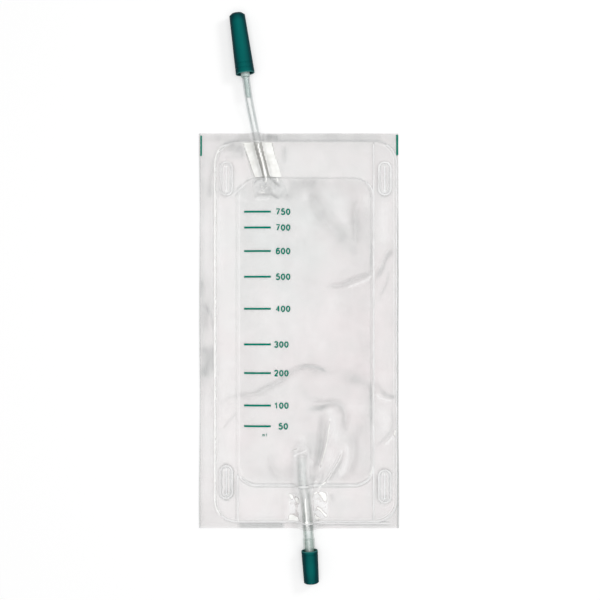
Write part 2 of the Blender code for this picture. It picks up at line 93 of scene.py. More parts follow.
# %% [markdown]
# ## Writing a finish
# A material is a tree of nodes, which is slow to read when each node and link takes a line. Here a
# small class stands for a socket, so that sums are written as sums and add their own Math nodes,
# and a second one stands for a material and makes every other node it needs.

# %% Shader arithmetic: one class for a socket
class Wire:
    """An output of a node, so that shader maths reads like plain arithmetic."""

    def __init__(self, finish, socket):
        self.finish = finish
        self.socket = socket

    def maths(self, operation, other, turned_round=False):
        pair = (other, self) if turned_round else (self, other)
        return self.finish.node("ShaderNodeMath", {"operation": operation}, {0: pair[0], 1: pair[1]})

    def __add__(self, other):
        return self.maths("ADD", other)

    def __mul__(self, other):
        return self.maths("MULTIPLY", other)

    def __sub__(self, other):
        return self.maths("SUBTRACT", other)

    def __rsub__(self, other):
        return self.maths("SUBTRACT", other, True)

    def __pow__(self, other):
        return self.maths("POWER", other)

    __radd__ = __add__
    __rmul__ = __mul__

    def between(self, low, high):
        return self.maths("MAXIMUM", low).maths("MINIMUM", high)

    def line(self, middle, half):
        """1 where the value is at its middle, falling to 0 at half the line's width."""
        return (1.0 - (self - middle).maths("ABSOLUTE", 0.0) * (1 / half)).between(0.0, 1.0)

    def past(self, start, run):
        """0 before a start and 1 from a run later."""
        return ((self - start) * (1 / run)).between(0.0, 1.0)


# %% A finish: one class for a material
class Finish:
    """A material: one Principled shader, and what feeds it."""

    def __init__(self, name, **constants):
        self.material = bpy.data.materials.new(name)
        self.material.use_nodes = True
        self.tree = self.material.node_tree
        self.shader = self.tree.nodes["Principled BSDF"]
        self.coordinates = self.node("ShaderNodeTexCoord", {}, {}, "Object")
        for socket, value in constants.items():
            self.plug(self.shader.inputs[socket.replace("_", " ")], value)

    def plug(self, socket, value):
        if isinstance(value, Wire):
            self.tree.links.new(value.socket, socket)
        else:
            socket.default_value = value

    def node(self, kind, settings, sockets, output=0):
        made = self.tree.nodes.new(kind)
        for key, value in settings.items():
            setattr(made, key, value)
        for key, value in sockets.items():
            self.plug(made.inputs[key], value)
        return Wire(self, made.outputs[output])

    def cloud(self, scale, detail=2.0, roughness=0.5, stretch=(1, 1, 1), turn=0.0):
        """Soft noise in the piece's own metres, scale in features per metre."""
        place = self.node(
            "ShaderNodeMapping", {}, {"Vector": self.coordinates, "Scale": stretch, "Rotation": (0, 0, turn)}
        )
        sockets = {"Vector": place, "Scale": scale, "Detail": detail, "Roughness": roughness}
        return self.node("ShaderNodeTexNoise", {}, sockets)

    def painted(self, name):
        """A value that the piece's mesh holds at its points."""
        return self.node("ShaderNodeAttribute", {"attribute_name": name}, {}, "Fac")

    def place(self):
        """X and Y in the piece's own metres."""
        return [self.node("ShaderNodeSeparateXYZ", {}, {"Vector": self.coordinates}, axis) for axis in "XY"]

    def depth(self, box, radius):
        """How far a place lies inside a box with round corners, negative outside it."""
        left, bottom, right, top = box
        x, y = self.place()
        across = (x - (left + right) / 2).maths("ABSOLUTE", 0.0) - ((right - left) / 2 - radius)
        up = (y - (bottom + top) / 2).maths("ABSOLUTE", 0.0) - ((top - bottom) / 2 - radius)
        outside = (across.maths("MAXIMUM", 0.0) ** 2.0 + up.maths("MAXIMUM", 0.0) ** 2.0) ** 0.5
        return radius - outside - across.maths("MAXIMUM", up).maths("MINIMUM", 0.0)

    def facing(self):
        """0 where a surface faces the eye and 1 at its edge, as a clear wall gathers gloss there."""
        return self.node("ShaderNodeLayerWeight", {}, {"Blend": 0.5}, "Facing")

    def mix(self, share, first, second):
        """A colour between two others."""
        return self.node("ShaderNodeMix", {"data_type": "RGBA"}, {0: share, 6: first, 7: second}, 2)

    def bump(self, height, distance, strength=1.0, level=None):
        """Fine relief. Where level is 1, the surface is lit as if it lay flat, as milky film is."""
        sockets = {"Height": height, "Distance": distance, "Strength": strength}
        if level is not None:
            normal = self.node("ShaderNodeNewGeometry", {}, {}, "Normal")
            mixed = {0: level, 4: normal, 5: (0.0, 0.0, 1.0)}
            sockets["Normal"] = self.node("ShaderNodeMix", {"data_type": "VECTOR"}, mixed, 1)
        self.set("Normal", self.node("ShaderNodeBump", {}, sockets))

    def set(self, socket, value):
        self.plug(self.shader.inputs[socket], value)


# %% Colours as the eye reads them
def colour(red, green, blue):
    """A colour as seen, 0 to 255, as the linear value that a shader takes."""
    parts = [part / 255 for part in (red, green, blue)]
    return (*[((part + 0.055) / 1.055) ** 2.4 if part > 10 / 255 else part / 12.92 for part in parts], 1.0)


# %% Table: white, with a glow that lights nothing
table_size = 6.0
table_drop = 0.0002
table_tone = 0.62
table_glow = 0.41


def eye_only(finish):
    """1 for rays that the eye, gloss or clear walls send, and 0 for light."""
    kinds = ("Is Camera Ray", "Is Glossy Ray", "Is Transmission Ray")
    eye, gloss, clear = (finish.node("ShaderNodeLightPath", {}, {}, kind) for kind in kinds)
    return (eye + gloss + clear).between(0.0, 1.0)


bpy.ops.object.select_all(action="DESELECT")
bpy.ops.mesh.primitive_plane_add(size=table_size, location=(0, 0, -table_drop))
table = bpy.context.active_object
table.name = "table"
white = Finish("white_table", Base_Color=(table_tone, table_tone, table_tone, 1), Roughness=0.9)
white.set("Specular IOR Level", 0.0)
glow = white.node("ShaderNodeEmission", {}, {"Color": (1, 1, 1, 1), "Strength": eye_only(white) * table_glow})
both = white.node("ShaderNodeAddShader", {}, {0: Wire(white, white.shader.outputs[0]), 1: glow})
white.tree.links.new(both.socket, white.tree.nodes["Material Output"].inputs["Surface"])
table.data.materials.append(white.material)

# %% World and lamp
world_fill = 0.40
world = bpy.data.worlds.new("pale_room")
world.use_nodes = True
bpy.context.scene.world = world
sky = world.node_tree
seen = sky.nodes.new("ShaderNodeLightPath")
level = sky.nodes.new("ShaderNodeMapRange")
sky.links.new(seen.outputs["Is Camera Ray"], level.inputs["Value"])
level.inputs["To Min"].default_value = world_fill
level.inputs["To Max"].default_value = 1.0
sky.links.new(level.outputs["Result"], sky.nodes["Background"].inputs["Strength"])
sky.nodes["Background"].inputs["Color"].default_value = (1, 1, 1, 1)


def soft_lamp(name, place, size, power):
    """A round lamp that shines on the middle of the bag."""
    data = bpy.data.lights.new(name, "AREA")
    data.shape = "DISK"
    data.size = size
    data.energy = power
    lamp = link_new(name, data)
    lamp.location = place
    lamp.rotation_euler = (Vector((0, bag_middle, 0)) - Vector(place)).to_track_quat("-Z", "Y").to_euler()
    print(name, power, "W")


soft_lamp("wide_lamp", (0.02, bag_middle - 0.12, 1.7), 1.7, 17.0)
soft_lamp("side_lamp", (0.85, bag_middle + 0.60, 0.9), 0.35, 3.6)

# %% [markdown]
# ## Where everything runs
# The hoses' centrelines, the welds and the slots are repeated here in metres from the solids'
# source. Each hose lies flat inside the bag and rises to the axis of its cap, because the cap is
# wider and rests on the table.

# %% Measures shared by the films and hoses
film_wall = 0.0003
gap = 0.0003
weld_height = film_wall + gap
flap_wall = 0.0002
inlet_hose_radius, inlet_hose_wall = 0.0032, 0.0010
outlet_hose_radius, outlet_hose_wall = 0.00425, 0.0011
outlet_flare, outlet_flare_run = 0.00065, 0.0012
inlet_lean, outlet_lean = math.radians(8.0), math.radians(3.5)
inlet_axis = Vector((-math.sin(inlet_lean), math.cos(inlet_lean), 0))
outlet_axis = Vector((math.sin(outlet_lean), -math.cos(outlet_lean), 0))
inlet_entry = Vector((bag_left + 0.0457, bag_top, 0))
outlet_exit = Vector((bag_left + 0.0875, bag_bottom, 0))
inlet_mouth = inlet_entry + Vector((-0.0085, 0.0464, 0.0077))
outlet_mouth = outlet_exit + Vector((0.0009, -0.0164, 0.0067))


# %% Easing and curves
def ease(value):
    """A smooth step from 0 to 1."""
    value = np.clip(value, 0.0, 1.0)
    return value * value * (3 - 2 * value)


def smooth_curve(points, step):
    """Points along a Catmull-Rom curve through the given points, about one step apart."""
    points = [Vector(point) for point in points]
    ends = [2 * points[0] - points[1], *points, 2 * points[-1] - points[-2]]
    result = [points[0].copy()]
    for before, start, end, after in zip(ends, ends[1:], ends[2:], ends[3:]):
        count = max(1, round((end - start).length / step))
        for number in range(1, count + 1):
            share = number / count
            bend = 2 * before - 5 * start + 4 * end - after
            twist = 3 * start - before - 3 * end + after
            result.append(start + 0.5 * (share * (end - before) + share ** 2 * bend + share ** 3 * twist))
    return result


# %% The two centrelines
route_step = 0.0014
inlet_height, outlet_height = 0.0043, 0.00485
inlet_points = [
    inlet_entry + Vector((x, y, inlet_height))
    for x, y in ((0.0088, -0.0378), (0.0053, -0.0240), (0.0018, -0.0104), (-0.0025, 0.0102))
]
inlet_points += [inlet_mouth - inlet_axis * 0.0187, inlet_mouth - inlet_axis * 0.0025]
inlet_line = smooth_curve(inlet_points, route_step)

outlet_rise_run, outlet_spigot, outlet_grip = 0.0440, 0.0050, 0.0150
outlet_points = []
for x, y in (
    (-0.0052, 0.0575), (-0.0051, 0.0460), (-0.0042, 0.0350), (-0.0025, 0.0260), (-0.0012, 0.0155), (-0.0003, 0.0020),
):
    rise = (outlet_mouth.z - outlet_height) * float(ease(1 - y / outlet_rise_run))
    outlet_points.append(outlet_exit + Vector((x, y, outlet_height + rise)))
outlet_end = outlet_mouth + outlet_axis * outlet_spigot
outlet_points += [outlet_end - outlet_axis * (outlet_grip - outlet_flare_run), outlet_end]
outlet_line = smooth_curve(outlet_points, route_step)


def line_length(line):
    return sum((end - start).length for start, end in zip(line, line[1:]))


for name, line in (("inlet", inlet_line), ("outlet", outlet_line)):
    print(name, "hose", round(line_length(line) / mm, 1), "mm")

# %% Welds and slots in plan
outer_box = (bag_left + 0.0121, bag_bottom + 0.0052, bag_right - 0.0017, bag_top - 0.0065)
outer_corner = 0.017
chamber_box = (bag_left + 0.0309, bag_bottom + 0.0362, bag_right - 0.0205, bag_top - 0.0358)
chamber_corner = 0.016
slot_size, ring_size = (0.0008, 0.0210), (0.0095, 0.0260)
slot_left = (outer_box[0] + chamber_box[0]) / 2
slot_right = (outer_box[2] + chamber_box[2]) / 2
slot_places = (
    (slot_left, bag_top - 0.0363), (slot_right, bag_top - 0.0363),
    (slot_left, bag_bottom + 0.0370), (slot_right, bag_bottom + 0.0335),
)


# %% How deep a place lies inside a weld
def inside_depth(x, y, box, radius):
    """How far points lie inside a box with round corners, negative outside it."""
    left, bottom, right, top = box
    across = np.abs(x - (left + right) / 2) - ((right - left) / 2 - radius)
    up = np.abs(y - (bottom + top) / 2) - ((top - bottom) / 2 - radius)
    outside = np.hypot(np.maximum(across, 0), np.maximum(up, 0))
    return radius - outside - np.minimum(np.maximum(across, up), 0)


def box_round(place, size):
    return (place[0] - size[0] / 2, place[1] - size[1] / 2, place[0] + size[0] / 2, place[1] + size[1] / 2)


# %% [markdown]
# ## The front film as a field of heights
# An empty bag's film is slack, so it lies in broad soft folds with a few sharp creases, tight over
# each hose and flat along the welds. Cloth simulation makes folds somewhere. Here they have to be
# where the photograph shows them, so each is drawn as a line with its own height, the width of
# each flank and how sharp its crest is, and the film is the sum of them all.

# %% Folds
# Each row: the fold's height, its width left and right of the line's run and its crest's sharpness,
# then the line's points, each as millimetres across and up from the bag's lower left corner.
folds = (
    (2.2, 2.6, 2.9, 0.5, 100.9, 94.8, 99.3, 78.7, 97.7, 64.2, 92.9, 46.6, 85.6, 32.1),
    (1.4, 2.4, 2.8, 0.4, 89.6, 98.8, 100.9, 100.4, 111.4, 100.4, 117.8, 91.6, 115.4, 77.1),
    (1.2, 1.8, 1.8, 0.7, 115.4, 65.8, 113, 56.2, 107.3, 46.6, 96.9, 33.7),
    (0.9, 2.8, 2.8, 0.3, 122.6, 77.1, 124.2, 64.2, 121, 49.8, 111.4, 38.5),
    (1.2, 1.9, 2.9, 0.7, 17.3, 99.6, 25.3, 106, 43.8, 107.7, 55.1, 113.3, 67.1, 119.7, 76, 127, 85.6, 130.2, 98.5,
     128.6, 104.1, 123.7),
    (1.2, 4, 4, 0.3, 113, 125.3, 125.8, 120.5, 137.9, 112.5, 139.5, 99.6),
    (1, 1.6, 1.8, 0.6, 141.9, 117.3, 147.5, 109.3, 152.4, 105.2, 159.6, 104.4),
    (1, 1.8, 1.8, 0.6, 154.8, 96.4, 154.8, 81.1, 149.1, 72.3, 142.7, 65.8),
    (1.2, 1.9, 2.1, 0.7, 102.5, 194.5, 115.4, 195.3, 122.6, 199.3, 131.5, 202.5, 139.5, 206.5),
    (1.6, 4.8, 4.8, 0.2, 88, 271.7, 93.7, 261.2, 98.5, 250.8, 106.5, 241.1, 121, 229.9),
    (1.4, 3.2, 2.4, 0.4, 125.8, 263.6, 125, 247.6, 125.8, 226.6),
    (1.2, 1.8, 1.8, 0.7, 156.4, 225.8, 149.1, 216.2, 145.9, 207.4, 141.1, 199.3),
    (0.8, 1.4, 1.4, 0.6, 152.4, 206.5, 150.8, 197.7, 145.1, 186.4), (0.6, 1.6, 1.6, 0.6, 29.3, 91.6, 19.7, 80.3),
    (0.8, 2.4, 2.4, 0.4, 10.1, 186.4, 7.6, 168.8, 10.9, 155.9),
    (0.8, 2.4, 2.4, 0.4, 2.8, 146.2, 10.1, 138.2, 5.2, 122.1), (0.8, 2.1, 2.1, 0.4, 56.7, 61, 59.1, 48.2, 65.5, 38.5),
    (0.8, 2.4, 2.4, 0.3, 17.3, 303.8, 12.5, 283.7, 10.9, 259.6),
)
# Short sharp creases that gather at each hose's end, and the crumpled film beside the outlet hose
gathers = (
    (0.8, 1, 1, 0.9, 54, 281, 54.1, 278, 50.6, 271, 48.5, 269.7),
    (0.8, 1, 1, 0.9, 54.3, 275.3, 59.1, 272.1, 61.9, 269.3),
    (0.7, 1.2, 1.2, 0.9, 58.3, 281.7, 62.3, 277.7, 67.1, 272.5),
    (0.6, 1.2, 1.2, 0.9, 51, 281.7, 47.8, 279.7, 43.8, 277.7),
    (0.7, 1.2, 2, 0.8, 45.4, 268.5, 53, 267, 58, 267, 66, 263), (0.4, 1, 1, 0.9, 95, 32, 88, 26, 100, 28),
    (0.5, 1.1, 1.1, 0.9, 93, 17, 98, 15, 102, 11), (0.4, 1.1, 1.1, 0.9, 94, 10, 99, 11, 103, 9),
    (0.5, 1, 1, 0.9, 73, 27, 76, 22, 80, 19), (0.4, 1.1, 1.1, 0.9, 72, 10, 77, 8, 80, 11),
)


# %% The height of one fold
def nearest_on_line(x, y, points):
    """For each place: its distance from a line, its side (1 on the left) and its share of the way along."""
    best = np.full(x.shape, 1e9)
    side = np.zeros(x.shape)
    share = np.zeros(x.shape)
    count = len(points) - 1
    for number, (start, end) in enumerate(zip(points, points[1:])):
        run_x, run_y = end[0] - start[0], end[1] - start[1]
        length = run_x ** 2 + run_y ** 2
        along = np.clip(((x - start[0]) * run_x + (y - start[1]) * run_y) / length, 0, 1)
        off_x, off_y = x - start[0] - along * run_x, y - start[1] - along * run_y
        away = np.hypot(off_x, off_y)
        nearer = away < best
        best = np.where(nearer, away, best)
        side = np.where(nearer, np.sign(run_x * off_y - run_y * off_x), side)
        share = np.where(nearer, (number + along) / count, share)
    return best, side, share


fold_step = 0.004


def near_line(x, y, numbers, reach):
    """A smooth line through the points of a row, and which places lie within reach of its box."""
    points = [(bag_left + across * mm, bag_bottom + up * mm, 0) for across, up in zip(numbers[::2], numbers[1::2])]
    line = smooth_curve(points, fold_step)
    xs, ys = [point.x for point in line], [point.y for point in line]
    return line, (x > min(xs) - reach) & (x < max(xs) + reach) & (y > min(ys) - reach) & (y < max(ys) + reach)


def fold_height(x, y, fold):
    height, left, right, sharpness, *numbers = fold
    line, near = near_line(x, y, numbers, 2 * max(left, right) * mm)
    away, side, share = nearest_on_line(x[near], y[near], line)
    t = np.clip(away / (np.where(side > 0, left, right) * mm * 2), 0, 1)
    profile = (1 - sharpness) * (1 - ease(t)) + sharpness * (1 - t) ** 2
    lift = np.zeros(x.shape)
    lift[near] = height * mm * profile * ease(5 * np.minimum(share, 1 - share) + 0.05)
    return lift


# %% Hose sleeves and the lift over the valve
sleeve_flank = math.radians(72.0)
tent_stretch = 0.55
flap_half_width = 0.0118
flap_top, flap_bottom = bag_top - 0.0070, inlet_line[0].y - 0.0145
flap_clearance, flap_lift_run = 0.0008, 0.0050
inlet_sleeve = inlet_hose_radius + gap + flap_wall + gap
outlet_sleeve = outlet_hose_radius + gap + outlet_flare


def along_hose(line, y):
    """X and Z of a hose's centreline at each Y, carried straight on past its inner end."""
    ordered = sorted(line, key=lambda point: point.y)
    ys, xs, zs = ([getattr(point, axis) for point in ordered] for axis in "yxz")
    inner, following = line[0], line[1]
    run = (inner.x - following.x) / (inner.y - following.y)
    past = (y - inner.y) * (1 if following.y < inner.y else -1) > 0
    return np.where(past, inner.x + run * (y - inner.y), np.interp(y, ys, xs)), np.interp(y, ys, zs)


def sleeve_height(x, y, line, radius, floor):
    """A film over a hose: round on top, with hollow flanks down to the film and a tent past the end."""
    middle, axis_z = along_hose(line, y)
    inner = line[0]
    outwards = 1 if line[1].y > inner.y else -1
    past_end = np.maximum(0.0, (inner.y - y) * outwards)
    across = np.hypot(x - middle, past_end * tent_stretch)
    turn = radius * math.sin(sleeve_flank)
    crown = axis_z + np.sqrt(np.maximum(radius ** 2 - np.minimum(across, turn) ** 2, 0))
    drop = axis_z + radius * math.cos(sleeve_flank) - floor
    flank = floor + drop * np.exp(-(across - turn) * math.tan(sleeve_flank) / np.maximum(drop, 1e-5))
    return np.where(across <= turn, crown, flank)


def flap_cover(x, y):
    """1 over the valve's flaps, falling to 0 beside them."""
    middle = along_hose(inlet_line, y)[0]
    across = np.maximum(0.0, np.abs(x - middle) - flap_half_width)
    along = np.maximum(0.0, np.maximum(y - flap_top, flap_bottom - y))
    return ease(1 - (np.hypot(across, along) - 2 * flap_clearance) / flap_lift_run)


# %% Crumple: fine ridges that a film keeps from its packet
ridge_top = 2.2


def crumple(x, y, scale, seed):
    """Ridged noise from 0 to 1, scale in features per metre."""
    values = [
        noise.ridged_multi_fractal(Vector((a * scale, b * scale, seed)), 1.0, 2.1, 3, 0.9, 1.8)
        for a, b in zip(x.ravel(), y.ravel())
    ]
    values = np.array(values).reshape(x.shape)
    return np.clip(values / ridge_top, 0, 1)


def waves(x, y, scale, seed):
    """Soft noise from -1 to 1, scale in features per metre."""
    values = [noise.noise(Vector((a * scale, b * scale, seed))) for a, b in zip(x.ravel(), y.ravel())]
    return np.array(values).reshape(x.shape)


# %% The film's underside
chamber_slack, margin_slack = 0.0016, 0.0005
crumple_height = 0.00030


def front_height(x, y):
    """The underside of the front film at each place."""
    in_chamber = inside_depth(x, y, chamber_box, chamber_corner)
    in_outer = inside_depth(x, y, outer_box, outer_corner)
    in_margin = np.minimum(in_outer, -in_chamber)
    loose = ease(in_chamber / 0.018)
    slack = chamber_slack * loose * (1 + 0.35 * waves(x, y, 28, 3.0))
    slack = slack + margin_slack * ease(in_margin / 0.006)
    free = np.maximum(ease(in_chamber / 0.006), 0.8 * ease(in_margin / 0.004))
    free = np.maximum(free, 0.8 * (in_outer < 0) * ease(-in_outer / 0.003))
    slack = slack + free * sum(fold_height(x, y, fold) for fold in folds)
    slack = slack + ease(in_outer / 0.002) * sum(fold_height(x, y, fold) for fold in gathers)
    slack = slack + free * crumple_height * crumple(x, y, 55, 7.0)
    for place in slot_places:
        in_ring = inside_depth(x, y, box_round(place, ring_size), ring_size[0] / 2)
        slack = slack * ease(-in_ring / 0.003)
    height = weld_height + np.maximum(slack, 2 * (flap_wall + gap) * flap_cover(x, y))
    over_inlet = sleeve_height(x, y, inlet_line, inlet_sleeve, height)
    over_outlet = sleeve_height(x, y, outlet_line, outlet_sleeve, height)
    return np.maximum(height, np.maximum(over_inlet, over_outlet))


# %% [markdown]
# ## Making a film from heights
# A grid of quads is finest where the folds are tight. It is lifted to the heights, given its wall
# by a Solidify modifier, and the four strap slots are cut through it. The cut edges of a die-cut
# bag are not quite straight, so the outline wanders by half a millimetre.

# %% Film sheets: a plain grid, split again where the detail is
def wander(x, y):
    """Moves the outline in and out by a fraction of a millimetre."""
    edge_x = ease((np.abs(x) - 0.072) / 0.008)
    edge_y = ease((np.abs(y - bag_middle) - 0.150) / 0.0085)
    shift = 0.0007 * waves(np.sign(x) * 0.3, y, 14, 11.0)
    rise = 0.0005 * waves(x, np.sign(y - bag_middle) * 0.4, 12, 17.0)
    return x + edge_x * shift, y + edge_y * rise


def quad_sheet(name, x, y, z):
    """A sheet of quads whose corners are a grid of places."""
    corners = np.arange(x.size).reshape(x.shape)
    around = (corners[:-1, :-1], corners[:-1, 1:], corners[1:, 1:], corners[1:, :-1])
    mesh = bpy.data.meshes.new(name)
    places = np.column_stack([x.ravel(), y.ravel(), z.ravel()])
    mesh.from_pydata(places.tolist(), [], np.stack(around, axis=-1).reshape(-1, 4).tolist())
    return link_new(name, mesh)


def flat_grid(name, box, step):
    """A flat grid of near-square quads over a box in plan."""
    left, bottom, right, top = box
    xs = np.linspace(left, right, round((right - left) / step) + 1)
    ys = np.linspace(bottom, top, round((top - bottom) / step) + 1)
    x, y = np.meshgrid(xs, ys)
    return quad_sheet(name, x, y, 0 * x)


def split_where(sheet, wanted):
    """Splits each face into four where its middle is wanted."""
    mesh = bmesh.new()
    mesh.from_mesh(sheet.data)
    middles = np.array([face.calc_center_median()[:2] for face in mesh.faces])
    chosen = wanted(middles[:, 0], middles[:, 1])
    edges = {edge for face, take in zip(mesh.faces, chosen) if take for edge in face.edges}
    bmesh.ops.subdivide_edges(mesh, edges=list(edges), cuts=1, use_grid_fill=True)
    mesh.to_mesh(sheet.data)
    mesh.free()


def lift_sheet(sheet, height, wall):
    """Sets a flat sheet on a field of heights, lets its outline wander and gives it its wall."""
    places = points_of(sheet)
    places[:, 2] = height(places[:, 0], places[:, 1])
    places[:, 0], places[:, 1] = wander(places[:, 0], places[:, 1])
    sheet.data.vertices.foreach_set("co", places.ravel())
    solidify(sheet, wall, 1.0)


# %% Helpers for a piece's points and modifiers
def points_of(piece):
    """A mesh's points, a row for each."""
    places = np.zeros(len(piece.data.vertices) * 3, np.float32)
    piece.data.vertices.foreach_get("co", places)
    return places.reshape(-1, 3).astype(float)


def choose(piece):
    """Makes one piece the only one selected."""
    bpy.ops.object.select_all(action="DESELECT")
    piece.select_set(True)
    bpy.context.view_layer.objects.active = piece


def solidify(piece, wall, offset):
    """Gives a surface its wall, outwards with an offset of 1 and inwards with -1."""
    choose(piece)
    shell = piece.modifiers.new("wall", "SOLIDIFY")
    shell.thickness = wall
    shell.offset = offset
    bpy.ops.object.modifier_apply(modifier=shell.name)


def smooth(piece, angle=40.0):
    choose(piece)
    bpy.ops.object.shade_smooth_by_angle(angle=math.radians(angle))


def curve_piece(name, runs, settings, closed=False, tilt=0.0, widen=lambda place: 1.0):
    """A mesh made from a curve with some settings. Its first run through places may be closed."""
    curve = bpy.data.curves.new(name, "CURVE")
    curve.dimensions = "3D"
    for key, value in settings.items():
        setattr(curve, key, value)
    for number, run in enumerate(runs):
        spline = curve.splines.new("POLY")
        spline.points.add(len(run) - 1)
        for point, place in zip(spline.points, run):
            point.co = (*place, 1.0)
            point.radius = widen(place)
            point.tilt = tilt
        spline.use_cyclic_u = closed and number == 0
        spline.use_smooth = True
    choose(link_new(name, curve))
    bpy.ops.object.convert(target="MESH")
    return bpy.context.active_object


# %% [markdown]
# ## Strap slots
# A strap goes through a slot at each corner, punched inside a welded ring so that it can't tear.
# A slot could be left out of the grid, but its round ends need far smaller quads than the film
# has. A cutter is modelled instead, and a Boolean modifier takes it out of the finished sheet.

# %% Strap slots: one cutter for each place
slot_sides = 24
cutter_bottom, cutter_height = -0.002, 0.008


def slot_cutter(place):
    """A block with half-round ends: a circle's halves moved apart, and extruded through the film."""
    bpy.ops.object.select_all(action="DESELECT")
    bpy.ops.mesh.primitive_circle_add(
        vertices=slot_sides, radius=slot_size[0] / 2, fill_type="NGON", location=(*place, cutter_bottom)
    )
    cutter = bpy.context.active_object
    straight = (slot_size[1] - slot_size[0]) / 2
    for corner in cutter.data.vertices:
        corner.co.y += straight if corner.co.y > 1e-6 else -straight
    bpy.ops.object.mode_set(mode="EDIT")
    bpy.ops.mesh.select_all(action="SELECT")
    bpy.ops.mesh.extrude_region_move(TRANSFORM_OT_translate={"value": (0, 0, cutter_height)})
    bpy.ops.mesh.select_all(action="SELECT")
    bpy.ops.mesh.normals_make_consistent(inside=False)
    bpy.ops.object.mode_set(mode="OBJECT")
    return cutter


def cut_slots(piece):
    for place in slot_places:
        cutter = slot_cutter(place)
        choose(piece)
        cut = piece.modifiers.new("slot", "BOOLEAN")
        cut.object = cutter
        cut.operation = "DIFFERENCE"
        cut.solver = "EXACT"
        bpy.ops.object.modifier_apply(modifier=cut.name)
        bpy.data.objects.remove(cutter)


# %% [markdown]
# ## The two sheets
# The front film has small quads only at welds, folds, hoses and slots, because the smallest quads
# all over would make it nearly five times as heavy. The back film lies flat on the table under it,
# with the same slots, and needs no more than an even grid.

# %% Where the front film's grid is finest
film_box = (bag_left, bag_bottom, bag_right, bag_top)
fine_boxes = ((42, 262, 70, 293), (90, 33, 121, 92), (70, 2, 106, 33), (66, 56, 90, 68))


def needs_detail(x, y):
    """Places near a weld, a fold or a hose."""
    in_chamber = inside_depth(x, y, chamber_box, chamber_corner)
    in_outer = inside_depth(x, y, outer_box, outer_corner)
    wanted = (np.abs(in_chamber) < 0.0025) | (np.abs(in_outer) < 0.0020)
    for _, left, right, _, *numbers in folds:
        line, near = near_line(x, y, numbers, 0.003)
        away = nearest_on_line(x[near], y[near], line)[0]
        wanted[near] |= away < 2 * max(left, right) * mm
    for place in slot_places:
        wanted |= inside_depth(x, y, box_round(place, ring_size), ring_size[0] / 2) > -0.002
    wanted |= (np.abs(x - along_hose(inlet_line, y)[0]) < 0.014) & (y > flap_bottom)
    return wanted | needs_most(x, y)


def needs_most(x, y):
    """Places with creases as fine as the film can take, and the slots."""
    across, up = (x - bag_left) / mm, (y - bag_bottom) / mm
    wanted = np.zeros(x.shape, bool)
    for left, bottom, right, top in fine_boxes:
        wanted |= (across > left) & (across < right) & (up > bottom) & (up < top)
    for place in slot_places:
        wanted |= inside_depth(x, y, box_round(place, ring_size), ring_size[0] / 2) > -0.001
    return wanted


# %% Front film
front_step, back_step = 0.0019, 0.0020
front_film = flat_grid("clear_front_film", film_box, front_step)
split_where(front_film, needs_detail)
split_where(front_film, needs_most)
lift_sheet(front_film, front_height, film_wall)
cut_slots(front_film)
smooth(front_film)
print("front film", len(front_film.data.polygons), "faces")

# %% Back film: the same sheet, lying flat on the table
back_film = flat_grid("clear_back_film", film_box, back_step)
lift_sheet(back_film, lambda x, y: 0.0 * x, film_wall)
cut_slots(back_film)
smooth(back_film)
print("back film", len(back_film.data.polygons), "faces")
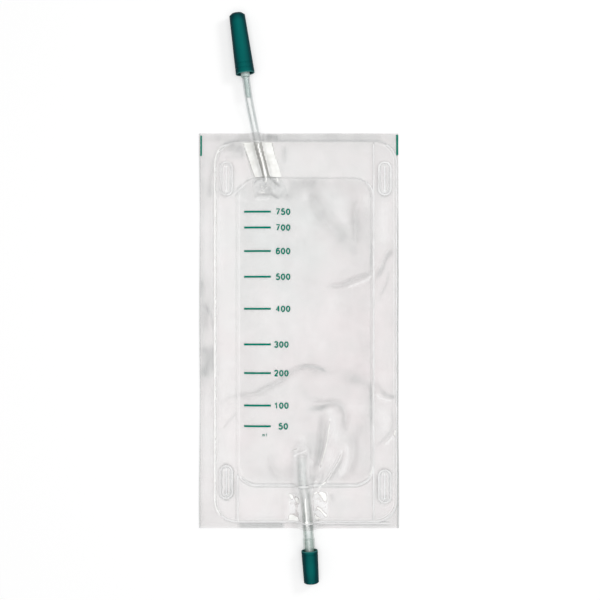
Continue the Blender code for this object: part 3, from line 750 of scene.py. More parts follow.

# %% [markdown]
# ## What the film's finish needs to know
# The film is clearest between the welds, greyer in the flat strips outside them and where two walls cling together,
# and milky where the valve lies. Folds, slots, welds and hoses also get painted shade where they turn from the light
# and painted highlights where they catch it. These tones are worked out at each point of the mesh and kept there as
# two values, a shade and a milky white that carries the painted highlights too, which the material reads, with two
# more: slope, for the steep flanks that look clear, and blush, for a faint rosy cast.

# %% Strokes of painted shade and painted highlight on folds and hoses, where they turn from the light or catch it
# Each row: the half width at the line's start and end in millimetres and the strength, then the points.
dark_strokes = (
    (2.2, 2.2, 0.25, 80.9, 56, 80.6, 44, 80.8, 34),
    (3, 3, 0.17, 97.7, 92.4, 98.5, 78.7, 98.1, 69.1, 96.5, 59.4, 93.7, 51.4, 89.6, 44.9),
    (1.6, 1.6, 0.15, 98.1, 73.9, 97.7, 64.2, 95.7, 56.2, 92.9, 49.8),
    (0.9, 0.9, 0.24, 99.7, 44.9, 98.1, 38.5, 95.3, 33.7),
    (1.6, 1.8, 0.14, 114.6, 61, 113, 53.8, 108.9, 45.7, 103.3, 36.1),
    (2.4, 2, 0.22, 89.6, 96.4, 98.5, 97.2, 104.1, 100.4, 111.4, 99.6, 116.2, 94, 116.2, 86.8, 116.6, 79.5),
    (2.2, 1.8, 0.17, 88.8, 96.4, 95.3, 96, 100.9, 97.2), (3.1, 3.1, 0.15, 110.6, 96.4, 115.4, 93.6),
    (4.6, 3.7, 0.14, 122.6, 77.9, 124.2, 67.5, 122.6, 54.6, 123.4, 43.3), (3.7, 4.6, 0.1, 125.8, 77.1, 132.3, 81.9),
    (5.5, 4.6, 0.18, 92.1, 78.7, 89.6, 67.5, 91.3, 57.8), (3.7, 2.8, 0.27, 90.5, 44.1, 89.6, 37.7, 88.8, 31.3),
    (5.5, 6.4, 0.08, 84.8, 91.6, 85.6, 73.9),
    (1.6, 2.1, 0.13, 14.9, 98.8, 24.5, 105.2, 32.6, 107.3, 43.8, 107.7, 52.7, 112.5),
    (2.1, 1.8, 0.2, 52.7, 112.5, 66.3, 118.9, 76, 126.5, 85.6, 129.8),
    (1.4, 1.1, 0.29, 80.8, 129.8, 88.8, 130.2, 96.1, 129, 101.7, 125.3),
    (3.7, 4.6, 0.1, 85.6, 125.3, 104.9, 126.1, 122.6, 123.7),
    (3.7, 2.8, 0.15, 121, 121.3, 130.7, 117.3, 137.9, 112.5),
    (1.6, 1.3, 0.22, 137.9, 114.9, 137.9, 101.2, 138.3, 83.5), (2.8, 2.3, 0.11, 83.2, 112.5, 88, 104.4, 98.5, 103.6),
    (1.1, 1.1, 0.17, 29.7, 92.4, 24.5, 86.8, 18.9, 79.5), (1.5, 1.6, 0.17, 141.9, 118.1, 144.3, 113.3, 147.5, 108.9),
    (1.8, 1.5, 0.37, 146.7, 110.1, 149.9, 106.9, 154, 105.6, 159.6, 105.6),
    (1.1, 1.1, 0.24, 154, 96.4, 155.2, 86.8, 153.2, 77.9, 148.3, 71.9, 142.7, 66.2),
    (2.1, 1.3, 0.29, 154.8, 223.4, 150.8, 218.6, 148.3, 213, 145.9, 206.5, 141.9, 200.1),
    (1.1, 1.1, 0.23, 152, 205.7, 150.8, 197.7, 148.3, 192.1, 145.1, 186.4),
    (5.2, 5.6, 0.17, 90.5, 271.7, 92.9, 262, 96.9, 252.4, 103.3, 244.3, 111.4, 236.3, 119.4, 231.5),
    (4.6, 4.6, 0.08, 93.7, 252.4, 100.1, 247.6), (5.5, 4.6, 0.18, 71.2, 277.3, 83.2, 275.7, 95.3, 278.9),
    (4.6, 3.7, 0.15, 70.4, 269.3, 75.2, 266),
    (2.4, 3.6, 0.13, 125.8, 260.4, 125.4, 249.2, 125.8, 238.7, 125.8, 225.8),
    (4.1, 3.7, 0.11, 120.2, 222.6, 126.6, 223.4), (5.5, 4.6, 0.04, 132.3, 242.7, 133.9, 231.5, 133.1, 223.4),
    (1.1, 1.6, 0.17, 101.7, 194.1, 114.6, 194.9, 121.8, 198.9, 130.7, 202.1, 138.7, 205.7),
    (1.3, 1.5, 0.24, 138.3, 229.1, 138.3, 209), (4.6, 4.6, 0.07, 113, 237.9, 116.2, 229.9),
    (5.5, 5.5, 0.18, 18.9, 307, 27.7, 303.8, 33.4, 302.2), (1.3, 1.3, 0.15, 19.7, 297.4, 35, 297.4),
    (1.5, 2.2, 0.2, 10.9, 295.8, 9.2, 279.7, 7.6, 265.2), (1.6, 1.5, 0.12, 15.7, 302.2, 16.5, 283.7, 15.7, 266.8),
    (2.3, 1.8, 0.17, 14.1, 313.5, 18.9, 313.5), (0.9, 0.9, 0.24, 23.7, 265.2, 29.3, 270.9, 35, 276.5, 39.8, 279.7),
    (0.9, 0.9, 0.2, 27.7, 266, 33.4, 271.7, 38.2, 276.5), (2.6, 2.6, 0.4, 54.5, 315.9, 56.9, 311.9),
    (2.2, 2.2, 0.15, 43.8, 315.1, 48.2, 315.1), (2.2, 2.2, 0.24, 58.3, 315.1, 63.9, 312.7),
    (1.9, 1.9, 0.34, 68.3, 306, 68.3, 293), (1, 0.8, 0.8, 50.5, 315.5, 51.3, 309), (4.5, 4.5, 0.22, 24, 309, 33, 303),
    (1.6, 1.5, 0.22, 33.5, 307, 34.3, 298), (3.7, 3.7, 0.08, 45.4, 274.9, 47, 271.7),
    (3.7, 4.6, 0.12, 61.5, 271.7, 66.3, 266.8), (4.6, 3.7, 0.07, 53.5, 271.7, 55.1, 267.7),
    (3.7, 2.8, 0.14, 69.5, 266.8, 74.4, 263.6), (4.1, 3.7, 0.08, 58.3, 61, 59.9, 49.8, 64.7, 41.7),
    (1.1, 1.1, 0.15, 67.5, 31.3, 67.5, 5.5), (3.7, 3.7, 0.05, 63.9, 28.9, 63.9, 9.6),
    (2.8, 2.8, 0.08, 32.6, 33.7, 35.8, 28.9), (3.7, 3.7, 0.18, 2.8, 183.2, 5.2, 168.8, 4.4, 157.5),
    (1.3, 1.5, 0.23, 5.2, 178.4, 10.1, 168.8, 10.9, 159.1),
    (4.6, 4.1, 0.31, 3.6, 147.1, 6.8, 138.2, 6, 128.6, 2.8, 121.3), (1.8, 1.3, 0.2, 10.1, 147.9, 10.9, 125.3),
    (1.8, 2.3, 0.2, 1.2, 199.3, 2, 186.4), (1.3, 1.3, 0.07, 14.1, 147.9, 26.1, 148.7),
    (1.1, 1.1, 0.31, 78.4, 57.4, 80.8, 59.8, 84, 60.2, 86.8, 58.2),
    (0.7, 0.7, 0.23, 75.2, 59.4, 79.2, 62.2, 84, 63.4), (0.7, 0.7, 0.18, 72, 60.6, 76, 63),
    (4.6, 4.6, 0.06, 69.5, 49.8, 74.4, 41.7), (1.8, 2.1, 0.23, 104.9, 27.3, 108.1, 22.4),
    (0.7, 0.7, 0.55, 51.1, 281.7, 49.4, 280.1, 46.6, 279.7, 44.6, 277.7, 44.2, 276.1),
    (0.7, 0.7, 0.45, 51.3, 282.1, 51.5, 278.9, 50.9, 276.5),
    (1, 1, 0.85, 56.3, 281.3, 59.1, 278.9, 61.5, 276.9, 64.7, 274.1),
    (0.6, 0.6, 0.5, 58.3, 281.3, 61.1, 281.9, 63.9, 281.6), (0.7, 0.7, 0.45, 49.3, 276.5, 48.8, 272.9),
    (0.7, 0.7, 0.55, 53.9, 277.1, 52.3, 274.1, 52, 272.6), (0.8, 0.8, 0.55, 55.6, 273.4, 57.1, 271),
    (1, 0.8, 0.3, 46.2, 267.7, 49.4, 267.5, 52.7, 267.7, 56.7, 268.1),
    (1.3, 1.1, 0.42, 56.7, 268.9, 59.9, 266.8, 63.9, 264.6), (1.4, 1.3, 0.42, 88.4, 30.5, 88.4, 24.8),
    (1.9, 1.3, 0.22, 78.4, 30.1, 78.8, 24), (0.6, 0.6, 0.3, 82.1, 22.4, 82.1, 8),
    (1.3, 1.3, 0.15, 88.8, 24.8, 89.2, 7.2), (0.6, 0.6, 0.22, 77.6, 14.8, 80.4, 15),
    (1, 0.8, 0.22, 93.3, 20, 95.3, 18.4), (1, 1, 0.15, 93.3, 16, 94.1, 12), (2.9, 3.1, 0.75, 90.9, 5.9, 90.9, 0.7),
    (1.1, 1.1, 0.28, 84, 5.9, 84, 0.7),
)
light_strokes = (
    (0.6, 0.6, 0.5, 84.4, 56, 84.3, 44, 84.6, 33),
    (0.5, 0.7, 0.75, 47.2, 309, 48.2, 303.4, 50.6, 295.4, 52.7, 285.7, 53.6, 282),
    (0.9, 1, 0.62, 104.9, 88.4, 103.3, 75.5, 101.3, 64.2, 98.5, 54.6, 96.5, 45.7),
    (0.9, 1.1, 0.5, 114.6, 63.4, 112.2, 56.2, 107.7, 48.2, 102.5, 39.3, 95.3, 31.3),
    (1.9, 2.1, 0.24, 117, 69.1, 119.4, 58.6, 117, 49.8, 112.2, 40.1),
    (2.8, 4, 0.18, 105.7, 92.4, 108.1, 81.9, 109.7, 70.7), (3.2, 3.2, 0.13, 103.3, 64.2, 104.9, 53),
    (2.4, 2.4, 0.2, 102.5, 94.8, 107.3, 93.2), (4.8, 5.6, 0.1, 117.8, 98, 133.9, 96.4),
    (3.2, 2.8, 0.21, 88, 52.2, 91.3, 53.8), (0.9, 0.8, 0.4, 141.9, 107.3, 147.5, 103.6, 154.8, 102.4),
    (0.7, 0.9, 0.4, 158.8, 80.3, 154, 71.5, 149.1, 66.7), (4.8, 4, 0.11, 141.9, 94.8, 149.9, 86.8, 148.3, 77.1),
    (4, 4, 0.08, 143.5, 118.9, 151.6, 122.1), (4.5, 4, 0.14, 148, 262, 148, 226),
    (2.6, 2.6, 0.2, 15.4, 264, 15.2, 196), (24, 26, 0.09, 48, 170, 75, 168, 112, 160),
    (5, 5, 0.12, 5.5, 262, 5.5, 205), (5, 5, 0.12, 5.5, 110, 5.5, 20),
    (0.8, 0.8, 0.21, 152.4, 224.2, 147.5, 216.2, 144.3, 207.4),
    (1, 1.1, 0.28, 118.6, 193.3, 129, 196.9, 135.5, 200.1, 139.5, 203.3), (3.2, 3.2, 0.18, 85.6, 270.1, 85.6, 262.8),
    (5.2, 3.2, 0.14, 113, 266.8, 114.6, 254, 117.8, 244.3), (4, 4, 0.1, 133.9, 268.5, 134.7, 257.2),
    (5.6, 5.6, 0.08, 80.8, 244.3, 87.2, 237.9), (0.7, 0.7, 0.28, 18.1, 291.8, 17.3, 278.1, 16.5, 268.5),
    (0.6, 0.6, 0.28, 21.3, 264.4, 27.7, 268.5, 34.2, 274.1, 39, 278.1),
    (0.7, 0.7, 0.28, 45.4, 264, 51.1, 264.4, 57.5, 264.4), (2.4, 2.4, 0.08, 31, 266, 39, 261.2),
    (0.6, 0.6, 0.56, 72.8, 61.8, 76, 63.4, 79.2, 64.6), (0.6, 0.6, 0.4, 75.6, 57.8, 79.2, 61, 83.2, 62.2, 86.4, 63.4),
    (1.9, 1.8, 0.2, 82.4, 73.1, 84, 68.3), (0.6, 0.6, 0.48, 90.5, 31.3, 92.5, 33.7, 93.7, 38.5),
    (0.6, 0.6, 0.4, 95.3, 31.3, 98.1, 34.9, 104.9, 37.7),
    (0.65, 0.65, 0.56, 48.6, 270.5, 51.1, 271.4, 53.5, 273.8, 55.2, 274.7, 57.5, 273, 60.3, 270.5),
    (0.7, 0.7, 0.8, 52.7, 286.1, 53.5, 282.1, 54.1, 278.9, 52.7, 276.1), (0.6, 0.6, 0.7, 48.2, 269.4, 52.3, 269.4),
    (0.6, 0.6, 0.35, 45.8, 265.2, 50.2, 265.2, 55.9, 265.2), (0.8, 0.8, 0.9, 62.3, 281.3, 63.1, 278.1),
    (2, 2.4, 0.3, 46, 276.9, 51.5, 278.5), (3, 3, 0.2, 61.5, 272.5, 66, 269), (0.7, 0.7, 0.8, 49.8, 274.9, 51, 273.2),
    (1.6, 1, 0.55, 71.4, 28, 73.4, 26.6, 74.6, 23.6), (1.4, 1.1, 0.45, 77.4, 25, 80.2, 20.6),
    (2.6, 1.5, 0.5, 70.6, 9.4, 74.6, 8.8, 79.6, 7.6), (0.7, 0.7, 0.65, 90, 24.4, 91.3, 27.4, 94.9, 29.5),
    (0.8, 0.7, 0.5, 91.1, 24.8, 91.6, 18.4, 91.7, 13.6), (1.8, 1.5, 0.7, 96.8, 29.6, 99.2, 27, 101.6, 22),
    (0.7, 0.7, 0.65, 94.6, 17.1, 96.9, 15.2, 100.5, 11.5, 102.5, 9.4),
    (0.7, 0.7, 0.6, 91.7, 12.8, 93.7, 9.4, 97.3, 7.2), (0.9, 0.8, 0.8, 85.1, 28.1, 85.2, 18.4, 86, 10.4, 86.4, 0.7),
)


# %% A tone from strokes
def stroke_tone(x, y, strokes):
    """The sum of some strokes' tones at each place."""
    tone = np.zeros(x.shape)
    for first, last, strength, *numbers in strokes:
        line, near = near_line(x, y, numbers, 2.2 * max(first, last) * mm)
        away, _, share = nearest_on_line(x[near], y[near], line)
        width = (first + (last - first) * share) * mm
        fade = ease(4 * np.minimum(share, 1 - share) + 0.35)
        tone[near] += strength * fade * np.exp(-(away / width) ** 2)
    return tone


def band(value, middle, half):
    """1 on a thin band of a value, 0 away from it."""
    return np.exp(-((value - middle) / half) ** 2)


# %% Milky patches at the valve and beside the outlet hose
def valve_weld(x, y):
    """1 where the valve's strips are welded to the films, on both sides of the inlet hose."""
    away = x - along_hose(inlet_line, y)[0]
    down = (outer_box[3] - y) / (outer_box[3] - chamber_box[3])
    reach = np.where(away < 0, 0.0126 - 0.0031 * down, 0.0118 + 0.0008 * down)
    height = ease((y - chamber_box[3] - 0.0002) / 0.0005) * ease((outer_box[3] - 0.0003 - y) / 0.0005)
    return ease((reach - np.abs(away)) / 0.0006) * height, np.abs(away), down


def valve_patch(x, y):
    """How milky the film is there: white at both sides, clearer over the hose."""
    welded, away, down = valve_weld(x, y)
    beside = ease((away - 0.0023) / 0.0009) * (0.60 + 0.16 * ease(down) + 0.06 * waves(x, y, 150, 21.0))
    return welded * np.maximum(0.30 * (away < 0.0034), beside)


def outlet_patch(x, y):
    """The crinkled patch on both sides of the outlet hose, between the two welds, where the film is cleared for a
    painted sheen.
    """
    across, up = (x - bag_left) / mm, (y - bag_bottom) / mm
    patch = 0.0
    for (left, right, top, bottom), runs in (
        ((71.5, 81.0, 28.0, 6.5), (1.2, 1.0, 1.5, 1.0)), ((92.0, 104.5, 30.0, 7.5), (1.0, 2.5, 1.5, 1.0)),
    ):
        sides = (across - left, right - across, top - up, up - bottom)
        patch = patch + math.prod(ease(side / run) for side, run in zip(sides, runs))
    return patch


# %% Rings round the slots
# How strongly each slot's rings and slit show their painted shade: top left, top right, bottom left, bottom right
slot_clearness = (0.55, 0.55, 1.3, 0.75)


def slot_tones(x, y):
    """Painted shade and painted highlight in fine rings round each strap slot, and at the lower two a painted shadow.
    """
    dark, light = np.zeros(x.shape), np.zeros(x.shape)
    for number, place in enumerate(slot_places):
        straight = (ring_size[1] - ring_size[0]) / 2
        away = np.hypot(x - place[0], np.maximum(np.abs(y - place[1]) - straight, 0))
        clear = slot_clearness[number]
        dark = dark + clear * (0.40 * band(away, 0.0059, 0.0005) + 0.48 * band(away, 0.0037, 0.0005))
        dark = dark + 0.08 * ease((0.0034 - away) / 0.0006) + clear * 0.55 * band(away, 0.0002, 0.0007)
        # A painted shadow at the lower end of each lower slot's slit.
        dark = dark + clear * 0.9 * (number > 1) * band(x, place[0], 0.0012) * band(y, place[1] - 0.0085, 0.0020)
        light = light + 0.30 * band(away, 0.0048, 0.0006) + 0.26 * band(away, 0.0021, 0.0005)
    return dark, light


# %% Shade, milk and blush
def film_tones(x, y):
    """The film's shade, painted shade included, and its milky white, painted highlights included, at each place, both
    from 0 to 1.
    """
    in_chamber = inside_depth(x, y, chamber_box, chamber_corner)
    in_outer = inside_depth(x, y, outer_box, outer_corner)
    across = ease((x - bag_left) / (bag_right - bag_left))
    # Painted shade: darker towards the right and lighter near the bottom, evening out how the lamps fall, with the
    # folds' painted shade from the dark strokes.
    shade = 0.09 + 0.07 * ease(in_chamber / 0.003) + 0.13 * across + stroke_tone(x, y, dark_strokes)
    shade = shade - 0.05 * ease((bag_bottom + 0.120 - y) / 0.060)
    shade = shade + 0.14 * (in_outer < 0) * ease(-in_outer / 0.001)
    shade = shade + 0.14 * ease((bag_left + 0.0065 - x) / 0.0065)
    top_strip = ease((y - outer_box[3]) / 0.0008) * ease((bag_right - 0.012 - x) / 0.006)
    shade = shade + top_strip * (0.06 + 0.10 * ease((x - bag_left - 0.028) / 0.020))
    slot_dark, slot_light = slot_tones(x, y)
    # Painted highlights of folds, hoses and slot rings, with the milky valve weld and the outlet patch.
    milk_and_highlight = stroke_tone(x, y, light_strokes) + slot_light + valve_patch(x, y)
    milk_and_highlight = milk_and_highlight + outlet_patch(x, y) * (0.34 + 0.14 * waves(x, y, 260, 23.0))
    shade = (shade + slot_dark) * (1 + 0.3 * waves(x, y, 60, 5.0)) + 0.04 * waves(x, y, 140, 9.0)
    return np.clip(shade, 0, 1), np.clip(milk_and_highlight, 0, 1)


def film_blush(x, y):
    """How rosy the film is: more in the middle and on the right, least at the chamber's upper left."""
    across, up = (x - bag_left) / mm, (y - bag_bottom) / mm
    rosy = np.exp(-((across - 118) / 42) ** 2 - ((up - 150) / 62) ** 2)
    plain = np.exp(-((across - 66) / 46) ** 2 - ((up - 232) / 58) ** 2)
    uneven = 0.30 * waves(x, y, 55, 31.0) + 0.12 * waves(x, y, 170, 37.0)
    return np.clip(0.50 + 0.45 * rosy - 0.50 * plain + uneven, 0, 1)


# %% The values kept on the meshes
def store(piece, name, values):
    """Keeps one value per point on a mesh."""
    held = piece.data.attributes.new(name, "FLOAT", "POINT")
    held.data.foreach_set("value", np.asarray(values, np.float32))


def slope_of(piece):
    """How far the surface turns from level at each point: 0 where it lies flat, 1 where it stands."""
    normals = np.zeros(len(piece.data.vertices) * 3, np.float32)
    piece.data.vertex_normals.foreach_get("vector", normals)
    return 1 - np.abs(normals.reshape(-1, 3)[:, 2])


x, y, _ = points_of(front_film).T
shade, milk_and_highlight = film_tones(x, y)
for name, values in (("shade", shade), ("milk_and_highlight", milk_and_highlight), ("slope", slope_of(front_film)), ("blush", film_blush(x, y))):
    store(front_film, name, values)
x, y, _ = points_of(back_film).T
store(back_film, "milk_and_highlight", outlet_patch(x, y))
print("shade", round(float(shade.mean()), 3), "milk_and_highlight", round(float(milk_and_highlight.mean()), 3))

# %% [markdown]
# ## Clear film
# Glass-like shaders show the film's thickness, but many thin walls on each other turn dark and noisy. Here the film
# is a glossy surface that is mostly see-through, and its alpha says how much of it is seen. Where the shade, painted
# shade included, is deep, the film is greyer and hides more. The milky white, painted highlights included, clears it,
# and where it is strong turns it white.

# %% Haze and grain of the film
def film_finish(name):
    """Film that hardly hides what is under it, and its haze."""
    finish = Finish(name, Roughness=0.42, IOR=2.0)
    finish.set("Specular IOR Level", 1.0)
    return finish, (finish.cloud(90, 3.0) - 0.5) * 0.03


def film_relief(finish, level=None):
    """The film's grain and its shallow waves."""
    finish.bump(finish.cloud(420, 3.0, 0.55) + finish.cloud(110, 2.0) * 2.0, 0.00008, 0.12, level)


# %% Lines along the welds
def weld_lines(finish):
    """Thin dark and light lines, as two values: painted shade and painted highlight beside the weld beads, and dark
    lines near the bag's edges.
    """
    x, y = finish.place()
    in_chamber, in_outer = finish.depth(chamber_box, chamber_corner), finish.depth(outer_box, outer_corner)
    low = 1.0 - y.past(chamber_box[1] + 0.002, 0.004)
    high = y.past(chamber_box[3] - 0.006, 0.004)
    right = x.past(chamber_box[2] - 0.006, 0.004)
    left = (1.0 - x.past(chamber_box[0], 0.004)) * (1.0 - low) * (1.0 - high)
    outer_left = 1.0 - x.past(outer_box[0] + 0.004, 0.004)
    dark = in_chamber.line(-0.0012, 0.0014) * left * 0.20 + in_chamber.line(0.0, 0.0012) * high * 0.34
    dark = dark + (in_chamber.line(-0.0005, 0.0009) + in_chamber.line(-0.0032, 0.0009)) * low * 0.40
    dark = dark + in_chamber.line(0.0017, 0.0011) * right * 0.26
    dark = dark + in_outer.line(-0.0010, 0.0012) * (0.18 - outer_left * 0.12)
    top = y.past(outer_box[3] - 0.004, 0.002)
    dark = dark + in_outer.line(0.0, 0.0010) * top * 0.35
    light = in_chamber.line(-0.0018, 0.0011) * low * 0.7
    light = light + in_chamber.line(-0.0002, 0.0012) * right * (1.0 - low) * 0.8
    light = light + in_chamber.line(0.0012, 0.0012) * left * 0.15
    light = light + in_outer.line(0.0013, 0.0013) * (1.0 - top) * 0.5
    light = light + in_outer.line(0.0004, 0.0013) * (1.0 - top) * outer_left * 0.9
    below, above = 1.0 - y.past(chamber_box[1], 0.010), y.past(chamber_box[3] - 0.010, 0.010)
    inside = in_outer.past(0.0, 0.001)
    runs = x.line(chamber_box[2] + 0.0003, 0.0011) * (below + above)
    dark = dark + (runs + x.line(chamber_box[0] - 0.0016, 0.0010) * below) * inside * 0.25
    middle_part = x.past(bag_left + 0.094, 0.004) * (1.0 - x.past(bag_right - 0.010, 0.004))
    edges = y.line(bag_bottom + 0.0050, 0.0008) * 0.5 + y.line(bag_bottom + 0.0026, 0.0010) * 0.4
    dark = dark + edges * middle_part
    green_part = x.past(bag_left + 0.030, 0.004) * (1.0 - x.past(bag_left + 0.066, 0.003))
    dark = dark + (1.0 - y.past(bag_bottom + 0.0038, 0.0008)) * green_part * 0.5
    light = light + y.line(bag_bottom + 0.0038, 0.0007) * middle_part * 0.35
    light = light + y.line(bag_bottom + 0.0049, 0.0007) * (green_part * 0.5)
    dark = dark + x.past(bag_right - 0.0016, 0.0006) * (1.0 - y.past(bag_middle + 0.075, 0.02)) * 0.8
    dark = dark + (1.0 - x.past(bag_left + 0.0008, 0.0006)) * 0.35
    return dark, light


# %% The two films' finishes
front_clearness, back_clearness = 0.130, 0.058
front_finish, haze = film_finish("clear_film")
shade, milk_and_highlight, slope, blush = (front_finish.painted(name) for name in ("shade", "milk_and_highlight", "slope", "blush"))
dark_line, light_line = weld_lines(front_finish)
# Painted shade greys and darkens the film. Painted highlights clear it where they are faint and turn it white where
# they are strong, as the milky welds do.
tone = shade + dark_line
bright = (milk_and_highlight + light_line).between(0.0, 1.0)
cleared, white = bright.past(0.0, 0.35), bright.past(0.36, 0.24)
pale = front_finish.mix(blush, colour(201, 208, 204), colour(230, 197, 200))
grey = front_finish.mix((tone * 1.6).between(0.0, 1.0), pale, colour(112, 116, 114))
spots = (front_finish.cloud(150, 2.0) * 3.0 - 1.0).between(0.0, 1.0)
cream = front_finish.mix(spots, colour(226, 226, 220), colour(250, 250, 247))
# The white of the milky welds and of the painted highlights: cream, and pure white where strongest.
milky = front_finish.mix(bright.past(0.84, 0.12), cream, colour(255, 254, 252))
front_finish.set("Base Color", front_finish.mix(white, grey, milky))
clear_flank = 1.0 - (slope * 0.9).between(0.0, 0.85)
veil = (front_clearness + haze + tone * 0.24) * clear_flank
front_finish.set("Alpha", (veil * (1.0 - cleared * 0.75) + white * 0.86).between(0.0, 1.0))
film_relief(front_finish, white * 0.9)
front_film.data.materials.append(front_finish.material)
back_finish, haze = film_finish("clear_back_film")
# The back film is cleared under the outlet patch too, for its painted sheen.
milk_and_highlight = back_finish.painted("milk_and_highlight")
back_finish.set("Base Color", colour(226, 220, 220))
back_finish.set("Alpha", ((back_clearness + haze) * (1.0 - milk_and_highlight * 0.8)).between(0.0, 1.0))
film_relief(back_finish)
back_film.data.materials.append(back_finish.material)

for film, node in ((front_film, "front_film"), (back_film, "back_film")):
    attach(film, "bag")
    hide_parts(node)

# %% [markdown]
# ## Weld beads
# A heated tool squeezes a little film out along each weld, as a raised bead. Its white is a painted highlight, strong
# on the runs that face the light and faded on the others.
# Each bead is a thin round line of film, half sunk in the front film, and follows its height.

# %% Beads along lines in plan
bead_step = 0.0016
corner_turns = 12


def rounded_rectangle(box, radius, step=bead_step):
    """Points round a rectangle with round corners, at most a step apart."""
    left, bottom, right, top = box
    centres = ((right - radius, top - radius), (left + radius, top - radius),
               (left + radius, bottom + radius), (right - radius, bottom + radius))
    corners = []
    for quarter, (x, y) in enumerate(centres):
        for number in range(corner_turns + 1):
            angle = math.pi / 2 * (quarter + number / corner_turns)
            corners.append(Vector((x + radius * math.cos(angle), y + radius * math.sin(angle), 0)))
    points = []
    for start, end in zip(corners, corners[1:] + corners[:1]):
        count = max(1, math.ceil((end - start).length / step))
        points += [start.lerp(end, number / count) for number in range(count)]
    return points


def straight_run(start, end):
    """Points along a straight line between two places in plan."""
    start, end = Vector((*start, 0)), Vector((*end, 0))
    count = math.ceil((end - start).length / bead_step)
    return [start.lerp(end, number / count) for number in range(count + 1)]


bead_flatness = 0.35


def bead(name, loop, radius, side_runs=()):
    """A low bead round a loop on the front film, with any straight runs that join it, as one piece."""
    settings = {"bevel_depth": radius, "bevel_resolution": 2, "use_fill_caps": True}
    piece = curve_piece(name, [loop, *side_runs], settings, closed=True)
    places = points_of(piece)
    places[:, 2] = places[:, 2] * bead_flatness + front_height(places[:, 0], places[:, 1]) + film_wall
    piece.data.vertices.foreach_set("co", places.ravel())
    return piece


# %% The beads
chamber_left, chamber_bottom, chamber_right, chamber_top = chamber_box
bead_right, bead_bottom = chamber_right + 0.0004, chamber_bottom - 0.0018
bead_box = (chamber_left, bead_bottom, bead_right, chamber_top)
side_runs = [
    straight_run((x, start), (x, end)) for x, start, end in (
        (chamber_left, bead_bottom + chamber_corner, outer_box[1]),
        (bead_right, bead_bottom + chamber_corner, outer_box[1]),
        (bead_right, chamber_top - chamber_corner, outer_box[3]),
    )
]
outer_bead_box = (outer_box[0] + 0.0010, *outer_box[1:])
outer_bead = bead("outer_weld_bead", rounded_rectangle(outer_bead_box, outer_corner), 0.00055)
chamber_bead = bead("chamber_weld_bead", rounded_rectangle(bead_box, chamber_corner), 0.00060, side_runs)
ring_step, rim_size, rim_corner = 0.001, (0.0064, 0.0228), 0.0031
rings = []
for number, place in enumerate(slot_places, 1):
    line = rounded_rectangle(box_round(place, ring_size), ring_size[0] / 2 - 0.00005, ring_step)
    inner = rounded_rectangle(box_round(place, rim_size), rim_corner, ring_step)
    rings += [bead(f"slot_ring_{number}", line, 0.00065), bead(f"slot_rim_{number}", inner, 0.00035)]

# %% Bright film for the beads
beads = (outer_bead, chamber_bead, *rings)
bead_finish = Finish("bright_bead", Base_Color=colour(255, 255, 255), Roughness=0.18, IOR=1.6)
bead_x, bead_y = bead_finish.place()
# Painted highlight: the bead is white on the chamber's right and bottom runs, and fades on its left and top runs, on
# the outer weld's top and partly on its left.
side_without_highlight = (1.0 - bead_x.past(bead_right - 0.010, 0.004)) * bead_y.past(bead_bottom + 0.003, 0.004)
inner = bead_finish.depth(chamber_box, chamber_corner).past(-0.003, 0.001)
on_top = bead_y.past(outer_box[3] - 0.003, 0.002) + (1.0 - bead_x.past(outer_box[0] + 0.004, 0.004)) * 0.6
clearness = (bead_finish.cloud(60, 2.0) * 0.6 + 0.35) * (1.0 - (side_without_highlight * inner + on_top).between(0.0, 0.96))
bead_finish.set("Alpha", clearness.between(0.02, 0.9))
bead_finish.bump(bead_finish.cloud(900, 2.0), 0.00005, 0.2, 0.8)
for piece in beads:
    piece.data.materials.append(bead_finish.material)
    smooth(piece, 60)
    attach(piece, "bag")
print("beads", sum(len(piece.data.polygons) for piece in beads), "faces")

# %% [markdown]
# ## The non-return valve
# Two strips of thin milky film are welded in with the hose. They run on past its end and close
# on each other, so that nothing flows back. Their lower edges ripple, because the hose spreads
# them at the top and nothing holds them below.

# %% Valve flaps
flap_columns, flap_rows = 41, 66
flap_spread = 0.16
edge_wave, ripple_height = 0.0009, 0.0004


def valve_flap(name, lift, over_hose, seed):
    """A leaning strip of thin film, as a grid across and along the hose."""
    across = np.linspace(-flap_half_width, flap_half_width, flap_columns)
    levels = np.linspace(flap_bottom, flap_top, flap_rows)
    offset, y = np.meshgrid(across, levels)
    middle = along_hose(inlet_line, y)[0]
    past_end = ease((inlet_line[0].y + 0.002 - y) / 0.010)
    x = middle + offset * (1 + flap_spread * past_end)
    edge = edge_wave * np.sin(x * 900 + seed) * past_end
    ripple = ripple_height * past_end * (0.5 + 0.5 * np.sin(offset * 1500 + seed))
    z = weld_height + lift + ripple
    if over_hose:
        z = np.maximum(z, sleeve_height(x, y, inlet_line, inlet_hose_radius + gap, z))
    z = np.minimum(z, front_height(x, y) - flap_wall - gap / 2)
    flap = quad_sheet(name, x, y + edge, z)
    solidify(flap, flap_wall, 1.0)
    smooth(flap)
    places = points_of(flap)
    store(flap, "welded", valve_weld(places[:, 0], places[:, 1])[0])
    return flap


back_flap = valve_flap("milky_back_flap", 0.0, False, 0.4)
front_flap = valve_flap("milky_front_flap", flap_wall + gap, True, 2.1)

print("valve flaps", len(back_flap.data.polygons) + len(front_flap.data.polygons), "faces")

